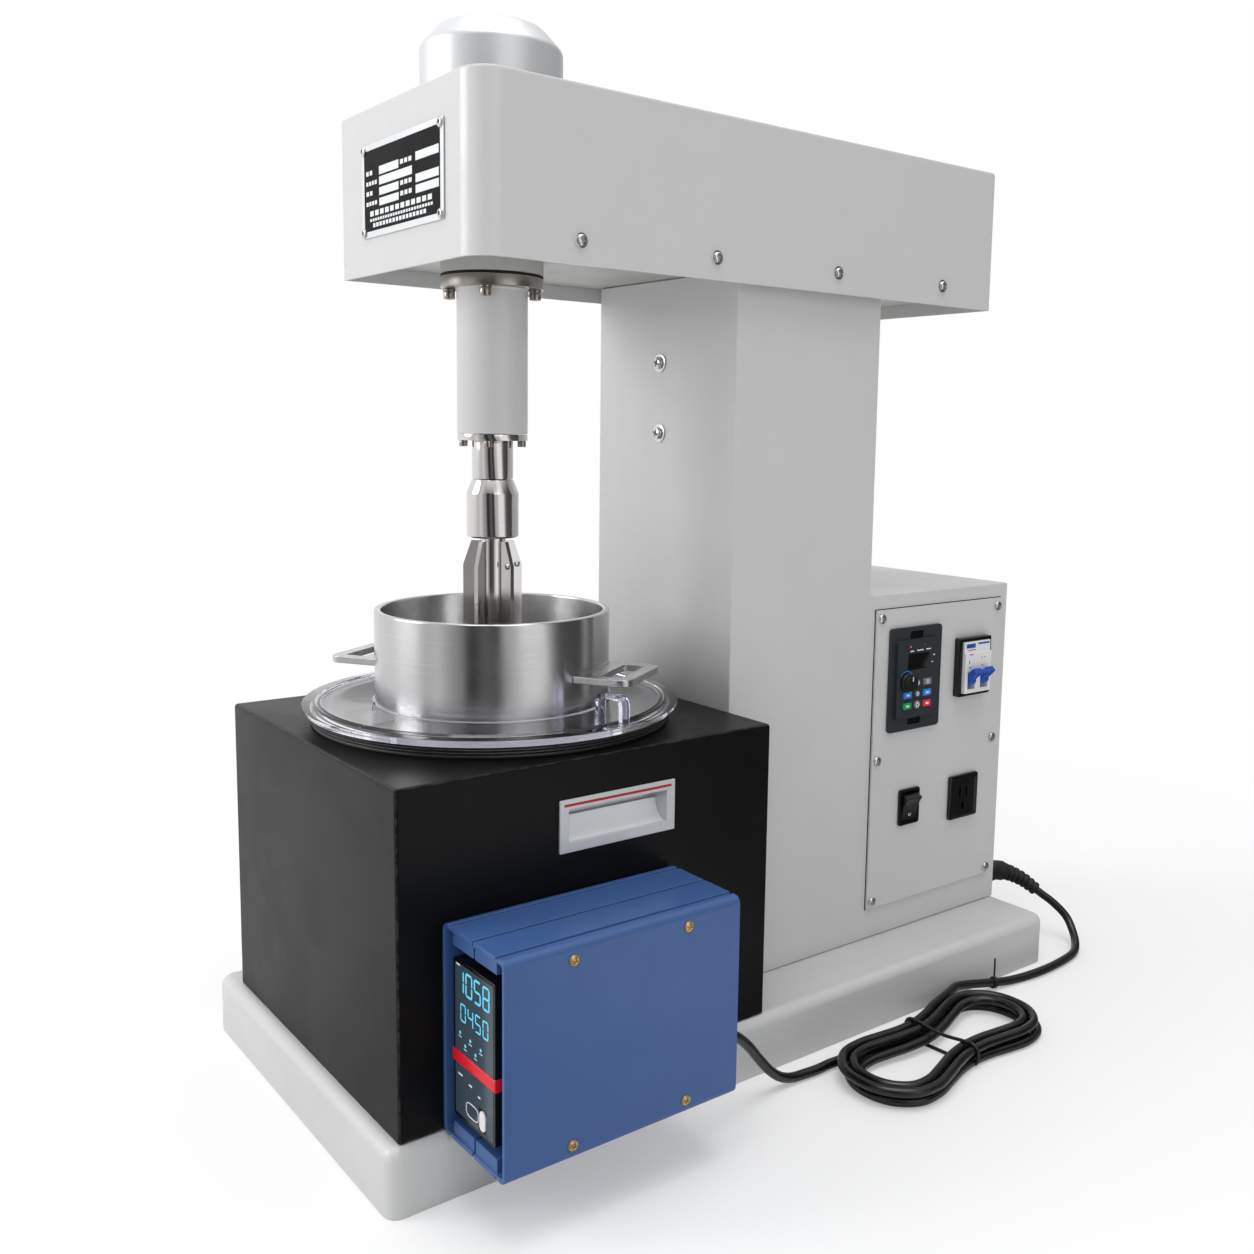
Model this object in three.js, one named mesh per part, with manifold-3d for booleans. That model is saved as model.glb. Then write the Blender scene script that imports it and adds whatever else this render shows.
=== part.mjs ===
// Laboratory leaching agitator: a belt driven stirrer on a column over a heated bath with a pot,
// a speed panel on the cabinet, a temperature controller case on the bath and a supply cord.
// Millimetres, +Z up. The stirrer hangs in front (-Y), the cabinet stands behind (+Y) and the
// panel and the controller case face +X. Raw places are measured from the spindle axis (x),
// the column's front face (y) and the floor (z); the assembly group centres them at the end.

import * as THREE from "three";
import { mergeVertices } from "three/addons/utils/BufferGeometryUtils.js";
import Module from "manifold-3d";

const wasm = await Module();
wasm.setup();

// Clearances and shared fits
const seatGap = 0.3;
const runningGap = 0.4;
const cutOverrun = 6;
const weldTolerance = 0.0001;

// Base
const baseLeftLedge = 26;
const baseRightLedge = 5;
const baseFrontLedge = 9;
const baseRear = 324;
const baseHeight = 43;
const baseEdgeRadius = 8;
const baseCornerRadius = 9;
const baseWall = 4;
const baseRim = 14;

// Column and rear cabinet, one welded sheet housing
const columnWidth = 170;
const columnDepth = 146;
const cabinetDepth = 174;
const cabinetHeadroom = 12;
const housingWall = 2.5;
const housingFillet = 5;

// Arm bed and arm cover
const armHalfWidth = 96;
const armReach = 66;
const armRear = 264;
const armCoverBottom = 560;
const armCoverHeight = 110;
const armCoverWall = 2;
const armFrontRadius = 20;
const armEdgeRadius = 3;
const bedRecess = 11;
const bedThickness = 8;
const bossDrop = 10.2;

// Spindle, its housing and bearings
const flangeRadius = 34.8;
const flangeThickness = 7.5;
const gasketThickness = 1.2;
const housingTubeRadius = 24.2;
const housingTubeBottom = 454;
const bearingRadius = 20.8;
const bearingHeight = 12;
const bearingGroove = 1.2;
const bearingShield = 3.4;
const tubeShoulder = 2.6;
const shaftRadius = 10;
const collarRadius = 14.2;
const endRingThickness = 4.3;
const endRingBore = 15.2;
const shaftTop = 694;
const threadRadius = 8;
const threadLength = 34;

// Coupling sleeve and finned stirrer
const sleeveTop = 422.8;
const sleeveRadius = 18;
const sleeveConeHeight = 9.6;
const sleeveBottom = 382.4;
const sleeveChamfer = 1;
const spigotRadius = 9;
const spigotLength = 18;
const stirrerTubeRadius = 8.2;
const stirrerPlugLength = 16;
const stirrerBottom = 186;
const vaneCount = 5;
const vaneThickness = 3;
const vaneRadius = 21;
const vaneTopRadius = 15;
const vaneTopDrop = 2.4;
const vaneTaper = 17;
const vaneFootRadius = 13;
const vaneFootTaper = 9;
const vaneFootLift = 14;
const vaneTurnDegrees = 9.4;

// Cap over the upper end of the spindle
const capRadius = 47.5;
const capTopRadius = 32.7;
const capShoulder = 36;
const capHeight = 51;
const capWall = 2.5;

// Belt drive in the arm
const drivenPulleyRadius = 45;
const drivePulleyRadius = 30;
const pulleyWidth = 20;
const pulleyRim = 2.6;
const pulleyFlange = 1.6;
const pulleyLift = 22;
const hubRadius = 15;
const webThickness = 7;
const beltThickness = 2.8;
const beltRimGap = 0.8;

// Motor in the column
const motorRadius = 50;
const motorLength = 158;
const motorFlangeRadius = 56;
const motorFlangeThickness = 9;
const motorFoot = 4;
const motorShaftRadius = 9.5;
const motorShaftReach = 62;
const motorSpigotRadius = 19;
const motorFinCount = 12;
const motorFinWidth = 3;
const motorFinDepth = 3.5;
const bracketWidth = 58;
const bracketHeight = 92;
const bracketBottom = 436;

// Bath housing, tank, rim ring, heater and pot stand
const bathSideMargin = 22;
const bathFrontMargin = 27;
const bathRearMargin = 33;
const bathRear = 3;
const bathTop = 256;
const bathWall = 2;
const bathEdgeRadius = 2.2;
const tankRadius = 112;
const tankWall = 1.5;
const tankFloor = 88;
const tankFlange = 8;
const tankCornerRadius = 10;
const ringReach = 13;
const ringHeight = 8;
const ringGroove = 1;
const heaterInset = 34;
const heaterTubeRadius = 5;
const standInset = 16;
const standPlateWidth = 38;
const standThickness = 3;
const standHeight = 62;
const standLegCount = 4;
const standLegWidth = 12;

// Leaching pot and its handles
const potRoom = 30.2;
const potWall = 4.6;
const potFloor = 5;
const potRim = 333;
const potRimChamfer = 0.8;
const potCornerRadius = 6;
const potHandleReach = 33.5;
const potHandleWidth = 64;
const potHandleThickness = 4.6;
const potHandleLift = 140;
const potHandleCorner = 9;
const potHandleBar = 9;
const potHandleTurnDegrees = 33;

// Clear cover halves with their handles
const coverReach = 19;
const coverThickness = 5;
const coverPotClearance = 1.8;
const coverRibInset = 13.4;
const coverRibWidth = 1.6;
const coverRibPitch = 3.4;
const coverRibHeight = 1.2;
const coverRebate = 2.4;
const coverTurnDegrees = 18.4;
const coverHandleStartShare = 0.4304;
const coverHandleReachShare = 0.5274;
const coverHandleTurnDegrees = -7;
const coverHandleHeight = 19;
const coverHandleBar = 3.6;
const coverHandleWidth = 8;
const coverHandleCornerShare = 0.28;

// Recessed pull on the bath housing
const pullWidth = 89.5;
const pullHeight = 34;
const pullRearOffset = 89;
const pullBottom = 197;
const pullFace = 1.6;
const pullBorder = 5;
const pullDepth = 15;
const pullWall = 1.2;

// Temperature controller case on the bath housing
const caseFront = 258.6;
const caseRear = 91;
const caseWidth = 71.7;
const caseHeight = 129.7;
const caseWall = 3;
const caseCorner = 5;
const caseGroove = 3;
const caseGrooveDepth = 1.6;
const caseGrooveInset = 9;
const caseJointGap = 1.6;
const casePanelThickness = 3;
const casePanelInset = 14.4;
const caseBlockHeight = 11;
const caseBlockDepth = 11;
const caseBlockSetback = 1.2;
const controllerWidth = 48;
const controllerHeight = 96;
const controllerFaceDepth = 13.6;
const controllerFaceCorner = 2;
const controllerBodyWidth = 44;
const controllerBodyHeight = 90;
const controllerBodyDepth = 66;
const controllerSideShift = 0.8;
const controllerBottom = 60.5;
const ovalKeyWidth = 6.4;
const ovalKeyHeight = 12;
const ovalKeyAcross = 34;
const ovalKeyUp = 10;
const ovalKeyTravel = 0.6;
const ovalKeyProud = 0.7;
const ovalKeyDepth = 3;

// Control panel on the cabinet
const panelFrontInset = 6;
const panelWidth = 158;
const panelBottom = 69;
const panelHeadroom = 59;
const panelThickness = 2;
const panelLap = 7;

// Speed drive keypad unit in the panel
const driveWidth = 62;
const driveHeight = 86;
const driveAcross = 45.5;
const driveUp = 190;
const driveProud = 2.4;
const driveBodyWidth = 54;
const driveBodyHeight = 76;
const driveBodyDepth = 58;
const driveCorner = 3;
const driveNotchWidth = 16;
const driveNotchHeight = 6.5;
const keypadWidth = 50;
const keypadHeight = 65;
const keypadRaise = 3;
const keypadDrop = 0.5;
const knobRadius = 7.4;
const knobHeight = 7;
const knobWaist = 0.8;
const knobPointer = 1.2;
const keyWidth = 9.6;
const keyHeight = 5.6;
const keyProud = 1.2;
const keyDepth = 3;
const keyTravel = 0.8;
const keyPitchAcross = 11.9;
const keyPitchUp = 9.1;
const keyGridShift = 1.2;
const keyGridDrop = 12.4;
const knobShift = 14.5;
const knobDrop = 1.3;
const smallKeyRadius = 2.6;
const roundKeyRadius = 3.6;
const keyCornerRadius = 1.1;

// Breaker, rocker switch and outlet in the panel
const breakerFrameWidth = 40.6;
const breakerFrameHeight = 49.6;
const breakerFrameThickness = 1.8;
const breakerAcross = 117.5;
const breakerLift = 3;
const breakerBodyWidth = 34;
const breakerBodyHeight = 44;
const breakerProud = 9.4;
const breakerStepHeight = 9;
const breakerStepDepth = 1.6;
const breakerDepth = 44;
const toggleWidth = 9;
const togglePitch = 16.8;
const toggleReach = 9;
const toggleTiltDegrees = 45;
const toggleDrop = 11;
const toggleSink = 3;
const toggleThickness = 5;
const toggleHubRadius = 4.6;
const tieBarThickness = 3.4;
const rockerFrameWidth = 24.6;
const rockerFrameHeight = 30.6;
const rockerFrameProud = 2;
const rockerAcross = 45;
const rockerUp = 80.8;
const rockerWidth = 18;
const rockerHeight = 24;
const rockerDip = 0.6;
const rockerRise = 6.2;
const rockerRidge = 1.2;
const rockerApexShare = 0.7;
const rockerBelly = 6.8;
const rockerTuck = 1;
const rockerHubRadius = 3.4;
const rockerPocket = 9;
const rockerBodyDepth = 20;
const rockerBodyShrink = 2.6;
const socketWidth = 36.8;
const socketHeight = 38.4;
const socketProud = 2.4;
const socketAcross = 114.2;
const socketUp = 78.2;
const socketBodyDepth = 26;
const socketBodyShrink = 4.4;
const socketSlotWidth = 2.6;
const socketSlotLength = 8.4;
const socketSlotDepth = 14;
const socketSlotSpread = 8.6;
const socketEarthDrop = 8.2;
const socketCornerRadius = 2;

// Nameplate
const plateWidth = 118;
const plateHeight = 61;
const plateThickness = 0.8;
const plateRise = 24;
const plateCornerRadius = 2.4;

// Supply cord
const cordDiameter = 7;
const cordSides = 8;
const hankPitch = 8.3;
const hankLoops = 4;
const hankHalfLength = 82;
const hankHalfSpread = 50;
const hankWaistShare = 0.75;
const hankSideOffset = 58;
const hankRearOffset = 122;
const hankTurnDegrees = -84;
const hankSides = 6;
const hankSteps = 24;
const cordLift = 0.5;
// Places of the case stretch, out to the side, to the rear and up from its gland, floor at the end
const caseCordFall = [
  [0, 0, 0],
  [0, 10, -0.2],
  [-1, 22, -4.6],
  [-3.5, 36, -16],
  [-6, 50, -32],
  [-7.5, 62, -45],
  [-8.2, 73, -53.4],
  [-8.4, 84, -57.5],
];
const caseCordFloor = [
  [-8, 96],
  [-7, 108],
];
// Places of the supply stretch on the floor, to the side and to the rear of the base's rear corner
const supplyCordFall = [
  [-16, 56, 22],
  [-5, 51.5, 12],
  [4.5, 42, 6],
];
const supplyCordFloor = [
  [11.5, 29],
  [16.5, 4],
  [18, -30],
  [14, -64],
];
// Places of the strain relief, to the side, to the rear and up from its gland
const reliefRoute = [
  [0, 0, 0],
  [0, 12, 0],
  [5, 24, -3],
  [15, 34, -9],
  [27, 40, -17],
];
const glandRadius = 9.5;
const glandLength = 8;
const glandAcross = 78;
const glandUp = 16;
const caseGlandRadius = 6.5;
const caseGlandLength = 7;
const caseGlandUp = 19;
const reliefRadius = 9;
const reliefTipRadius = 5.2;
const reliefRibCount = 6;
const reliefRibDepth = 1.1;

// Finishes
const finishes = {
  enamel: { color: 0xc9cbc9, roughness: 0.45, metalness: 0 },
  blackPaint: { color: 0x17181a, roughness: 0.5, metalness: 0 },
  steel: { color: 0xb9babb, roughness: 0.25, metalness: 1 },
  darkSteel: { color: 0x6f7173, roughness: 0.4, metalness: 1 },
  silver: { color: 0xc8cacc, roughness: 0.4, metalness: 0.7 },
  rubber: { color: 0x121212, roughness: 0.7, metalness: 0 },
  acrylic: { color: 0xdfe3f0, roughness: 0.08, metalness: 0, transparent: true, opacity: 0.35 },
  bluePlastic: { color: 0x3f66b0, roughness: 0.45, metalness: 0 },
  blackPlastic: { color: 0x15161a, roughness: 0.35, metalness: 0 },
  slatePlastic: { color: 0x2b3238, roughness: 0.5, metalness: 0 },
  whitePlastic: { color: 0xe8eaec, roughness: 0.4, metalness: 0 },
  greyKey: { color: 0x8e979d, roughness: 0.5, metalness: 0 },
  blueKey: { color: 0x1668c8, roughness: 0.4, metalness: 0 },
  greenKey: { color: 0x1c9a50, roughness: 0.4, metalness: 0 },
  redKey: { color: 0xd0232b, roughness: 0.4, metalness: 0 },
  copper: { color: 0xb87a4b, roughness: 0.35, metalness: 1 },
};

// Sizes that follow from the tank, the pot and the speed drive
const spindleSetback = bathRear + bathRearMargin + tankRadius;
const bathHalfWidth = tankRadius + bathSideMargin;
const bathFront = spindleSetback + tankRadius + bathFrontMargin;
const baseLeft = bathHalfWidth + baseLeftLedge;
const baseRight = bathHalfWidth + baseRightLedge;
const baseFront = bathFront + baseFrontLedge;
const armFront = spindleSetback + armReach;
const tankFlangeRadius = tankRadius + tankFlange;
const ringRadius = tankRadius + ringReach;
const heaterRadius = tankRadius - heaterInset;
const standOuter = tankRadius - standInset;
const standInner = standOuter - standPlateWidth;
const potRadius = tankRadius - potRoom;
const coverRadius = tankRadius + coverReach;
const coverBore = potRadius + coverPotClearance;
const coverWidth = coverRadius - coverBore;
const coverRibInner = coverRadius - coverRibInset;
const coverHandleStart = coverBore + coverWidth * coverHandleStartShare;
const coverHandleReach = coverWidth * coverHandleReachShare;
const coverHandleCorner = coverHandleReach * coverHandleCornerShare;
const panelHeight = driveUp + panelHeadroom;
const cabinetTop = panelBottom + panelHeight + cabinetHeadroom;
const breakerUp = driveUp + breakerLift;

const bedUnderside = armCoverBottom + bedRecess;
const bedTop = bedUnderside + bedThickness;
const columnRight = columnWidth / 2;
const cabinetRear = columnDepth + cabinetDepth;
const floorOfHousing = baseHeight + seatGap;

const model = new THREE.Group();

function finishOf(name) {
  return new THREE.MeshStandardMaterial({ ...finishes[name] });
}

// One body with merged vertices and its faces turned outwards
function closed(geometry) {
  const bare = geometry.clone();
  for (const name of ["normal", "uv", "uv1"]) {
    bare.deleteAttribute(name);
  }
  const merged = mergeVertices(bare, weldTolerance);
  const source = merged.index.array;
  const kept = [];
  for (let i = 0; i < source.length; i += 3) {
    const [a, b, c] = [source[i], source[i + 1], source[i + 2]];
    if (a !== b && b !== c && c !== a) {
      kept.push(a, b, c);
    }
  }
  const spot = merged.attributes.position;
  const corner = (k) => new THREE.Vector3().fromBufferAttribute(spot, k);
  let volume = 0;
  for (let i = 0; i < kept.length; i += 3) {
    volume += corner(kept[i]).dot(corner(kept[i + 1]).cross(corner(kept[i + 2])));
  }
  if (volume < 0) {
    for (let i = 0; i < kept.length; i += 3) {
      [kept[i + 1], kept[i + 2]] = [kept[i + 2], kept[i + 1]];
    }
  }
  merged.setIndex(kept);
  return merged;
}

function toSolid(geometry) {
  const body = closed(geometry);
  return new wasm.Manifold(new wasm.Mesh({
    numProp: 3,
    vertProperties: new Float32Array(body.attributes.position.array),
    triVerts: new Uint32Array(body.index.array),
  }));
}

function toGeometry(solid) {
  const mesh = solid.getMesh();
  const geometry = new THREE.BufferGeometry();
  const places = new Float32Array(mesh.vertProperties);
  geometry.setAttribute("position", new THREE.BufferAttribute(places, 3));
  geometry.setIndex(new THREE.BufferAttribute(new Uint32Array(mesh.triVerts), 1));
  return geometry;
}

// The first geometry, joined with the second list and cut by the third
function carve(first, joins, cuts) {
  let solid = toSolid(first);
  for (const join of joins) {
    solid = solid.add(toSolid(join));
  }
  for (const cut of cuts) {
    solid = solid.subtract(toSolid(cut));
  }
  return toGeometry(solid);
}

function add(name, geometry, finish, place = [0, 0, 0], parent = model) {
  const mesh = new THREE.Mesh(closed(geometry), finishOf(finish));
  mesh.name = name;
  mesh.position.set(...place);
  parent.add(mesh);
  return mesh;
}

// A box between two corners
function block(x0, x1, y0, y1, z0, z1) {
  const box = new THREE.BoxGeometry(x1 - x0, y1 - y0, z1 - z0);
  return box.translate((x0 + x1) / 2, (y0 + y1) / 2, (z0 + z1) / 2);
}

// A profile of [radius, height] pairs turned about the Z axis
function turned(profile, segments = 48, x = 0, y = 0) {
  const points = profile.map(([radius, height]) => new THREE.Vector2(radius, height));
  return new THREE.LatheGeometry(points, segments).rotateX(Math.PI / 2).translate(x, y, 0);
}

function rod(radius, z0, z1, segments = 32, x = 0, y = 0) {
  return turned([[0, z0], [radius, z0], [radius, z1], [0, z1]], segments, x, y);
}

// A rounded outline with one radius for each corner, starting at the left front corner
function roundedOutline(x0, x1, y0, y1, radii, steps) {
  const corners = [
    [x0, y0, 1, 1, Math.PI],
    [x1, y0, -1, 1, Math.PI * 1.5],
    [x1, y1, -1, -1, 0],
    [x0, y1, 1, -1, Math.PI / 2],
  ];
  return corners.flatMap(([x, y, sx, sy, from], k) => {
    const radius = radii[k];
    return Array.from({ length: steps + 1 }, (_, i) => {
      const angle = from + (Math.PI / 2) * (i / steps);
      return new THREE.Vector2(
        x + sx * radius + radius * Math.cos(angle),
        y + sy * radius + radius * Math.sin(angle),
      );
    });
  });
}

// Convex rings of equal count, stacked in Z and closed by flat ends
function stacked(rings) {
  const count = rings[0].points.length;
  const places = [];
  for (const ring of rings) {
    for (const point of ring.points) {
      places.push(point.x, point.y, ring.z);
    }
  }
  const index = [];
  for (let r = 0; r + 1 < rings.length; r += 1) {
    for (let i = 0; i < count; i += 1) {
      const a = r * count + i;
      const b = r * count + ((i + 1) % count);
      index.push(a, b, b + count, a, b + count, a + count);
    }
  }
  const top = (rings.length - 1) * count;
  for (let i = 1; i + 1 < count; i += 1) {
    index.push(0, i + 1, i);
    index.push(top, top + i, top + i + 1);
  }
  const geometry = new THREE.BufferGeometry();
  geometry.setAttribute("position", new THREE.Float32BufferAttribute(places, 3));
  geometry.setIndex(index);
  return geometry;
}

// A slab with rounded upright corners and a rounded upper edge
function softSlab(x0, x1, y0, y1, z0, z1, radii, edge, cornerSteps, edgeSteps) {
  const ring = (inset, z) => ({
    z,
    points: roundedOutline(
      x0 + inset, x1 - inset, y0 + inset, y1 - inset,
      radii.map((radius) => Math.max(radius - inset, radius / 20)), cornerSteps,
    ),
  });
  const rings = [ring(0, z0)];
  for (let i = 0; i <= edgeSteps; i += 1) {
    const angle = (Math.PI / 2) * (i / edgeSteps);
    rings.push(ring(edge * (1 - Math.cos(angle)), z1 - edge + edge * Math.sin(angle)));
  }
  return stacked(rings);
}

// A flat outline in X and Y, raised between two heights
function raised(outline, z0, z1, holes = []) {
  const shape = new THREE.Shape(outline);
  shape.holes = holes.map((hole) => new THREE.Path(hole));
  const body = new THREE.ExtrudeGeometry(shape, { depth: z1 - z0, bevelEnabled: false });
  return body.translate(0, 0, z0);
}

// An outline drawn in Y (across) and Z (up), raised along +X from one place to another
function raisedAlongX(outline, x0, x1, holes = []) {
  return raised(outline, x0, x1, holes).rotateX(Math.PI / 2).rotateZ(Math.PI / 2);
}

function rectangle(x0, x1, y0, y1) {
  return [
    new THREE.Vector2(x0, y0),
    new THREE.Vector2(x1, y0),
    new THREE.Vector2(x1, y1),
    new THREE.Vector2(x0, y1),
  ];
}

function circleOutline(radius, x = 0, y = 0, segments = 24) {
  return Array.from({ length: segments }, (_, i) => {
    const angle = (2 * Math.PI * i) / segments;
    return new THREE.Vector2(x + radius * Math.cos(angle), y + radius * Math.sin(angle));
  });
}

// Base: an open pan under a thick rounded deck
function makeBase() {
  const radii = [baseCornerRadius, baseCornerRadius, baseCornerRadius, baseCornerRadius];
  const outer = softSlab(
    -baseLeft, baseRight, -baseFront, baseRear, 0, baseHeight, radii, baseEdgeRadius, 4, 4,
  );
  const pocket = block(
    -baseLeft + baseRim, baseRight - baseRim, -baseFront + baseRim, baseRear - baseRim,
    -cutOverrun, baseHeight - baseWall,
  );
  add("base", carve(outer, [], [pocket]), "enamel");
}

// Column and cabinet: an L shaped sheet housing, open below, over the motor and behind the panel
function makeColumnHousing() {
  const top = bedUnderside - seatGap;
  const profile = (inset, low, high) => {
    const shape = new THREE.Shape();
    shape.moveTo(inset, low);
    shape.lineTo(cabinetRear - inset, low);
    shape.lineTo(cabinetRear - inset, cabinetTop - inset);
    shape.lineTo(columnDepth - inset + housingFillet, cabinetTop - inset);
    shape.quadraticCurveTo(
      columnDepth - inset, cabinetTop - inset,
      columnDepth - inset, cabinetTop - inset + housingFillet,
    );
    shape.lineTo(columnDepth - inset, high);
    shape.lineTo(inset, high);
    return shape.getPoints(3);
  };
  const outer = raisedAlongX(profile(0, floorOfHousing, top), -columnRight, columnRight);
  const inner = raisedAlongX(
    profile(housingWall, -cutOverrun, top + cutOverrun),
    -columnRight + housingWall, columnRight - housingWall,
  );
  const hatch = block(
    0, columnRight + cutOverrun,
    columnDepth + panelFrontInset + panelLap,
    columnDepth + panelFrontInset + panelWidth - panelLap,
    panelBottom + panelLap, panelBottom + panelHeight - panelLap,
  );
  const glandHole = rod(cordDiameter * 0.8, -cutOverrun, cutOverrun, 16)
    .rotateX(Math.PI / 2)
    .translate(glandAcross - cordDiameter, cabinetRear, baseHeight + glandUp);
  add("column_housing", carve(outer, [], [inner, hatch, glandHole]), "enamel");
}

// Arm bed: a thick plate with a boss for the spindle housing
function makeArmBed() {
  const inset = armCoverWall + seatGap;
  const inner = armFrontRadius - inset;
  const plate = raised(
    roundedOutline(
      -armHalfWidth + inset, armHalfWidth - inset, -armFront + inset, armRear - inset,
      [armEdgeRadius, inner, armEdgeRadius, armEdgeRadius], 4,
    ),
    bedUnderside, bedTop,
  );
  const boss = rod(flangeRadius, bedUnderside - bossDrop, bedUnderside + cutOverrun, 48, 0,
    -spindleSetback);
  const bore = rod(bearingRadius - tubeShoulder, bedUnderside - 2 * bossDrop,
    bedTop + cutOverrun, 32, 0, -spindleSetback);
  const motorHole = rod(motorSpigotRadius + seatGap, bedUnderside - cutOverrun,
    bedTop + cutOverrun, 32, 0, columnDepth / 2);
  add("arm_bed", carve(plate, [boss], [bore, motorHole]), "enamel");
}

// Arm cover: a hood with one broad rounded upright edge at the front
function makeArmCover() {
  const top = armCoverBottom + armCoverHeight;
  const radii = [armEdgeRadius, armFrontRadius, armEdgeRadius, armEdgeRadius];
  const outer = softSlab(
    -armHalfWidth, armHalfWidth, -armFront, armRear, armCoverBottom, top, radii,
    armEdgeRadius, 6, 2,
  );
  const innerRadii = radii.map((radius) => radius - armCoverWall);
  const inner = raised(
    roundedOutline(
      -armHalfWidth + armCoverWall, armHalfWidth - armCoverWall,
      -armFront + armCoverWall, armRear - armCoverWall, innerRadii, 6,
    ),
    armCoverBottom - cutOverrun, top - armCoverWall,
  );
  const spindleHole = rod(shaftRadius * 2, top - cutOverrun, top + cutOverrun, 24, 0,
    -spindleSetback);
  add("arm_cover", carve(outer, [], [inner, spindleHole]), "enamel");
}

// Cap: a spun cup with a broad cone, standing on the arm cover
function makeSpindleCap() {
  const foot = armCoverBottom + armCoverHeight + seatGap;
  const cup = turned([
    [capRadius - capWall, foot],
    [capRadius, foot],
    [capRadius, foot + capShoulder],
    [capTopRadius + (capRadius - capTopRadius) * 0.16, foot + capHeight - capWall / 2],
    [capTopRadius - capWall, foot + capHeight],
    [0, foot + capHeight],
    [0, foot + capHeight - capWall],
    [capTopRadius - capWall, foot + capHeight - capWall],
    [capRadius - capWall, foot + capShoulder - capWall / 2],
    [capRadius - capWall, foot],
  ], 56, 0, -spindleSetback);
  add("spindle_cap", cup, "silver");
}

// Nameplate: a bare plate with rounded corners on the arm's front
function makeNameplate() {
  const bottom = armCoverBottom + plateRise;
  const outline = roundedOutline(
    -plateWidth / 2, plateWidth / 2, bottom, bottom + plateHeight,
    Array(4).fill(plateCornerRadius), 3,
  );
  const plate = raised(outline, 0, plateThickness).rotateX(Math.PI / 2);
  add("nameplate", plate, "silver", [0, -armFront - seatGap, 0]);
}

// Spindle housing: a flanged tube with a bearing seat at each end, its gasket and end ring
function makeSpindleHousing() {
  const bossBottom = bedUnderside - bossDrop;
  const gasketTop = bossBottom - seatGap;
  const flangeTop = gasketTop - gasketThickness - seatGap;
  const seat = bearingRadius + seatGap;
  const seatDepth = bearingHeight + seatGap;
  const waist = bearingRadius - tubeShoulder;
  const axis = [0, -spindleSetback];
  add("flange_gasket", turned([
    [waist, gasketTop - gasketThickness], [flangeRadius, gasketTop - gasketThickness],
    [flangeRadius, gasketTop], [waist, gasketTop], [waist, gasketTop - gasketThickness],
  ], 48, ...axis), "rubber");
  add("spindle_housing", turned([
    [seat, housingTubeBottom],
    [housingTubeRadius, housingTubeBottom],
    [housingTubeRadius, flangeTop - flangeThickness],
    [flangeRadius, flangeTop - flangeThickness],
    [flangeRadius, flangeTop],
    [seat, flangeTop],
    [seat, flangeTop - seatDepth],
    [waist, flangeTop - seatDepth],
    [waist, housingTubeBottom + seatDepth],
    [seat, housingTubeBottom + seatDepth],
    [seat, housingTubeBottom],
  ], 48, ...axis), "enamel");
  const bearing = (bottom) => turned([
    [shaftRadius + seatGap, bottom],
    [shaftRadius + bearingShield, bottom],
    [shaftRadius + bearingShield, bottom + bearingGroove],
    [bearingRadius - bearingShield, bottom + bearingGroove],
    [bearingRadius - bearingShield, bottom],
    [bearingRadius, bottom],
    [bearingRadius, bottom + bearingHeight],
    [bearingRadius - bearingShield, bottom + bearingHeight],
    [bearingRadius - bearingShield, bottom + bearingHeight - bearingGroove],
    [shaftRadius + bearingShield, bottom + bearingHeight - bearingGroove],
    [shaftRadius + bearingShield, bottom + bearingHeight],
    [shaftRadius + seatGap, bottom + bearingHeight],
    [shaftRadius + seatGap, bottom],
  ], 20, ...axis);
  add("upper_bearing", bearing(flangeTop - bearingHeight), "steel");
  add("lower_bearing", bearing(housingTubeBottom), "steel");
  const ringTop = housingTubeBottom - seatGap;
  add("end_ring", turned([
    [endRingBore, ringTop - endRingThickness], [housingTubeRadius, ringTop - endRingThickness],
    [housingTubeRadius, ringTop], [endRingBore, ringTop],
    [endRingBore, ringTop - endRingThickness],
  ], 48, ...axis), "steel");
}

// Spindle: spigot, thick collar, bearing journal and threaded end
function makeSpindle() {
  const collarBottom = sleeveTop + seatGap;
  const collarTop = housingTubeBottom - seatGap;
  add("spindle_shaft", turned([
    [0, collarBottom - spigotLength],
    [spigotRadius, collarBottom - spigotLength],
    [spigotRadius, collarBottom],
    [collarRadius, collarBottom],
    [collarRadius, collarTop],
    [shaftRadius, collarTop],
    [shaftRadius, shaftTop - threadLength],
    [threadRadius, shaftTop - threadLength],
    [threadRadius, shaftTop],
    [0, shaftTop],
  ], 24, 0, -spindleSetback), "steel");
}

// Coupling sleeve: a bored cylinder with a cone to the collar
function makeCoupling() {
  const bore = spigotRadius + seatGap;
  add("coupling_sleeve", turned([
    [bore, sleeveBottom],
    [sleeveRadius - sleeveChamfer, sleeveBottom],
    [sleeveRadius, sleeveBottom + sleeveChamfer],
    [sleeveRadius, sleeveTop - sleeveConeHeight],
    [collarRadius, sleeveTop],
    [bore, sleeveTop],
    [bore, sleeveBottom],
  ], 40, 0, -spindleSetback), "steel");
}

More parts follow.
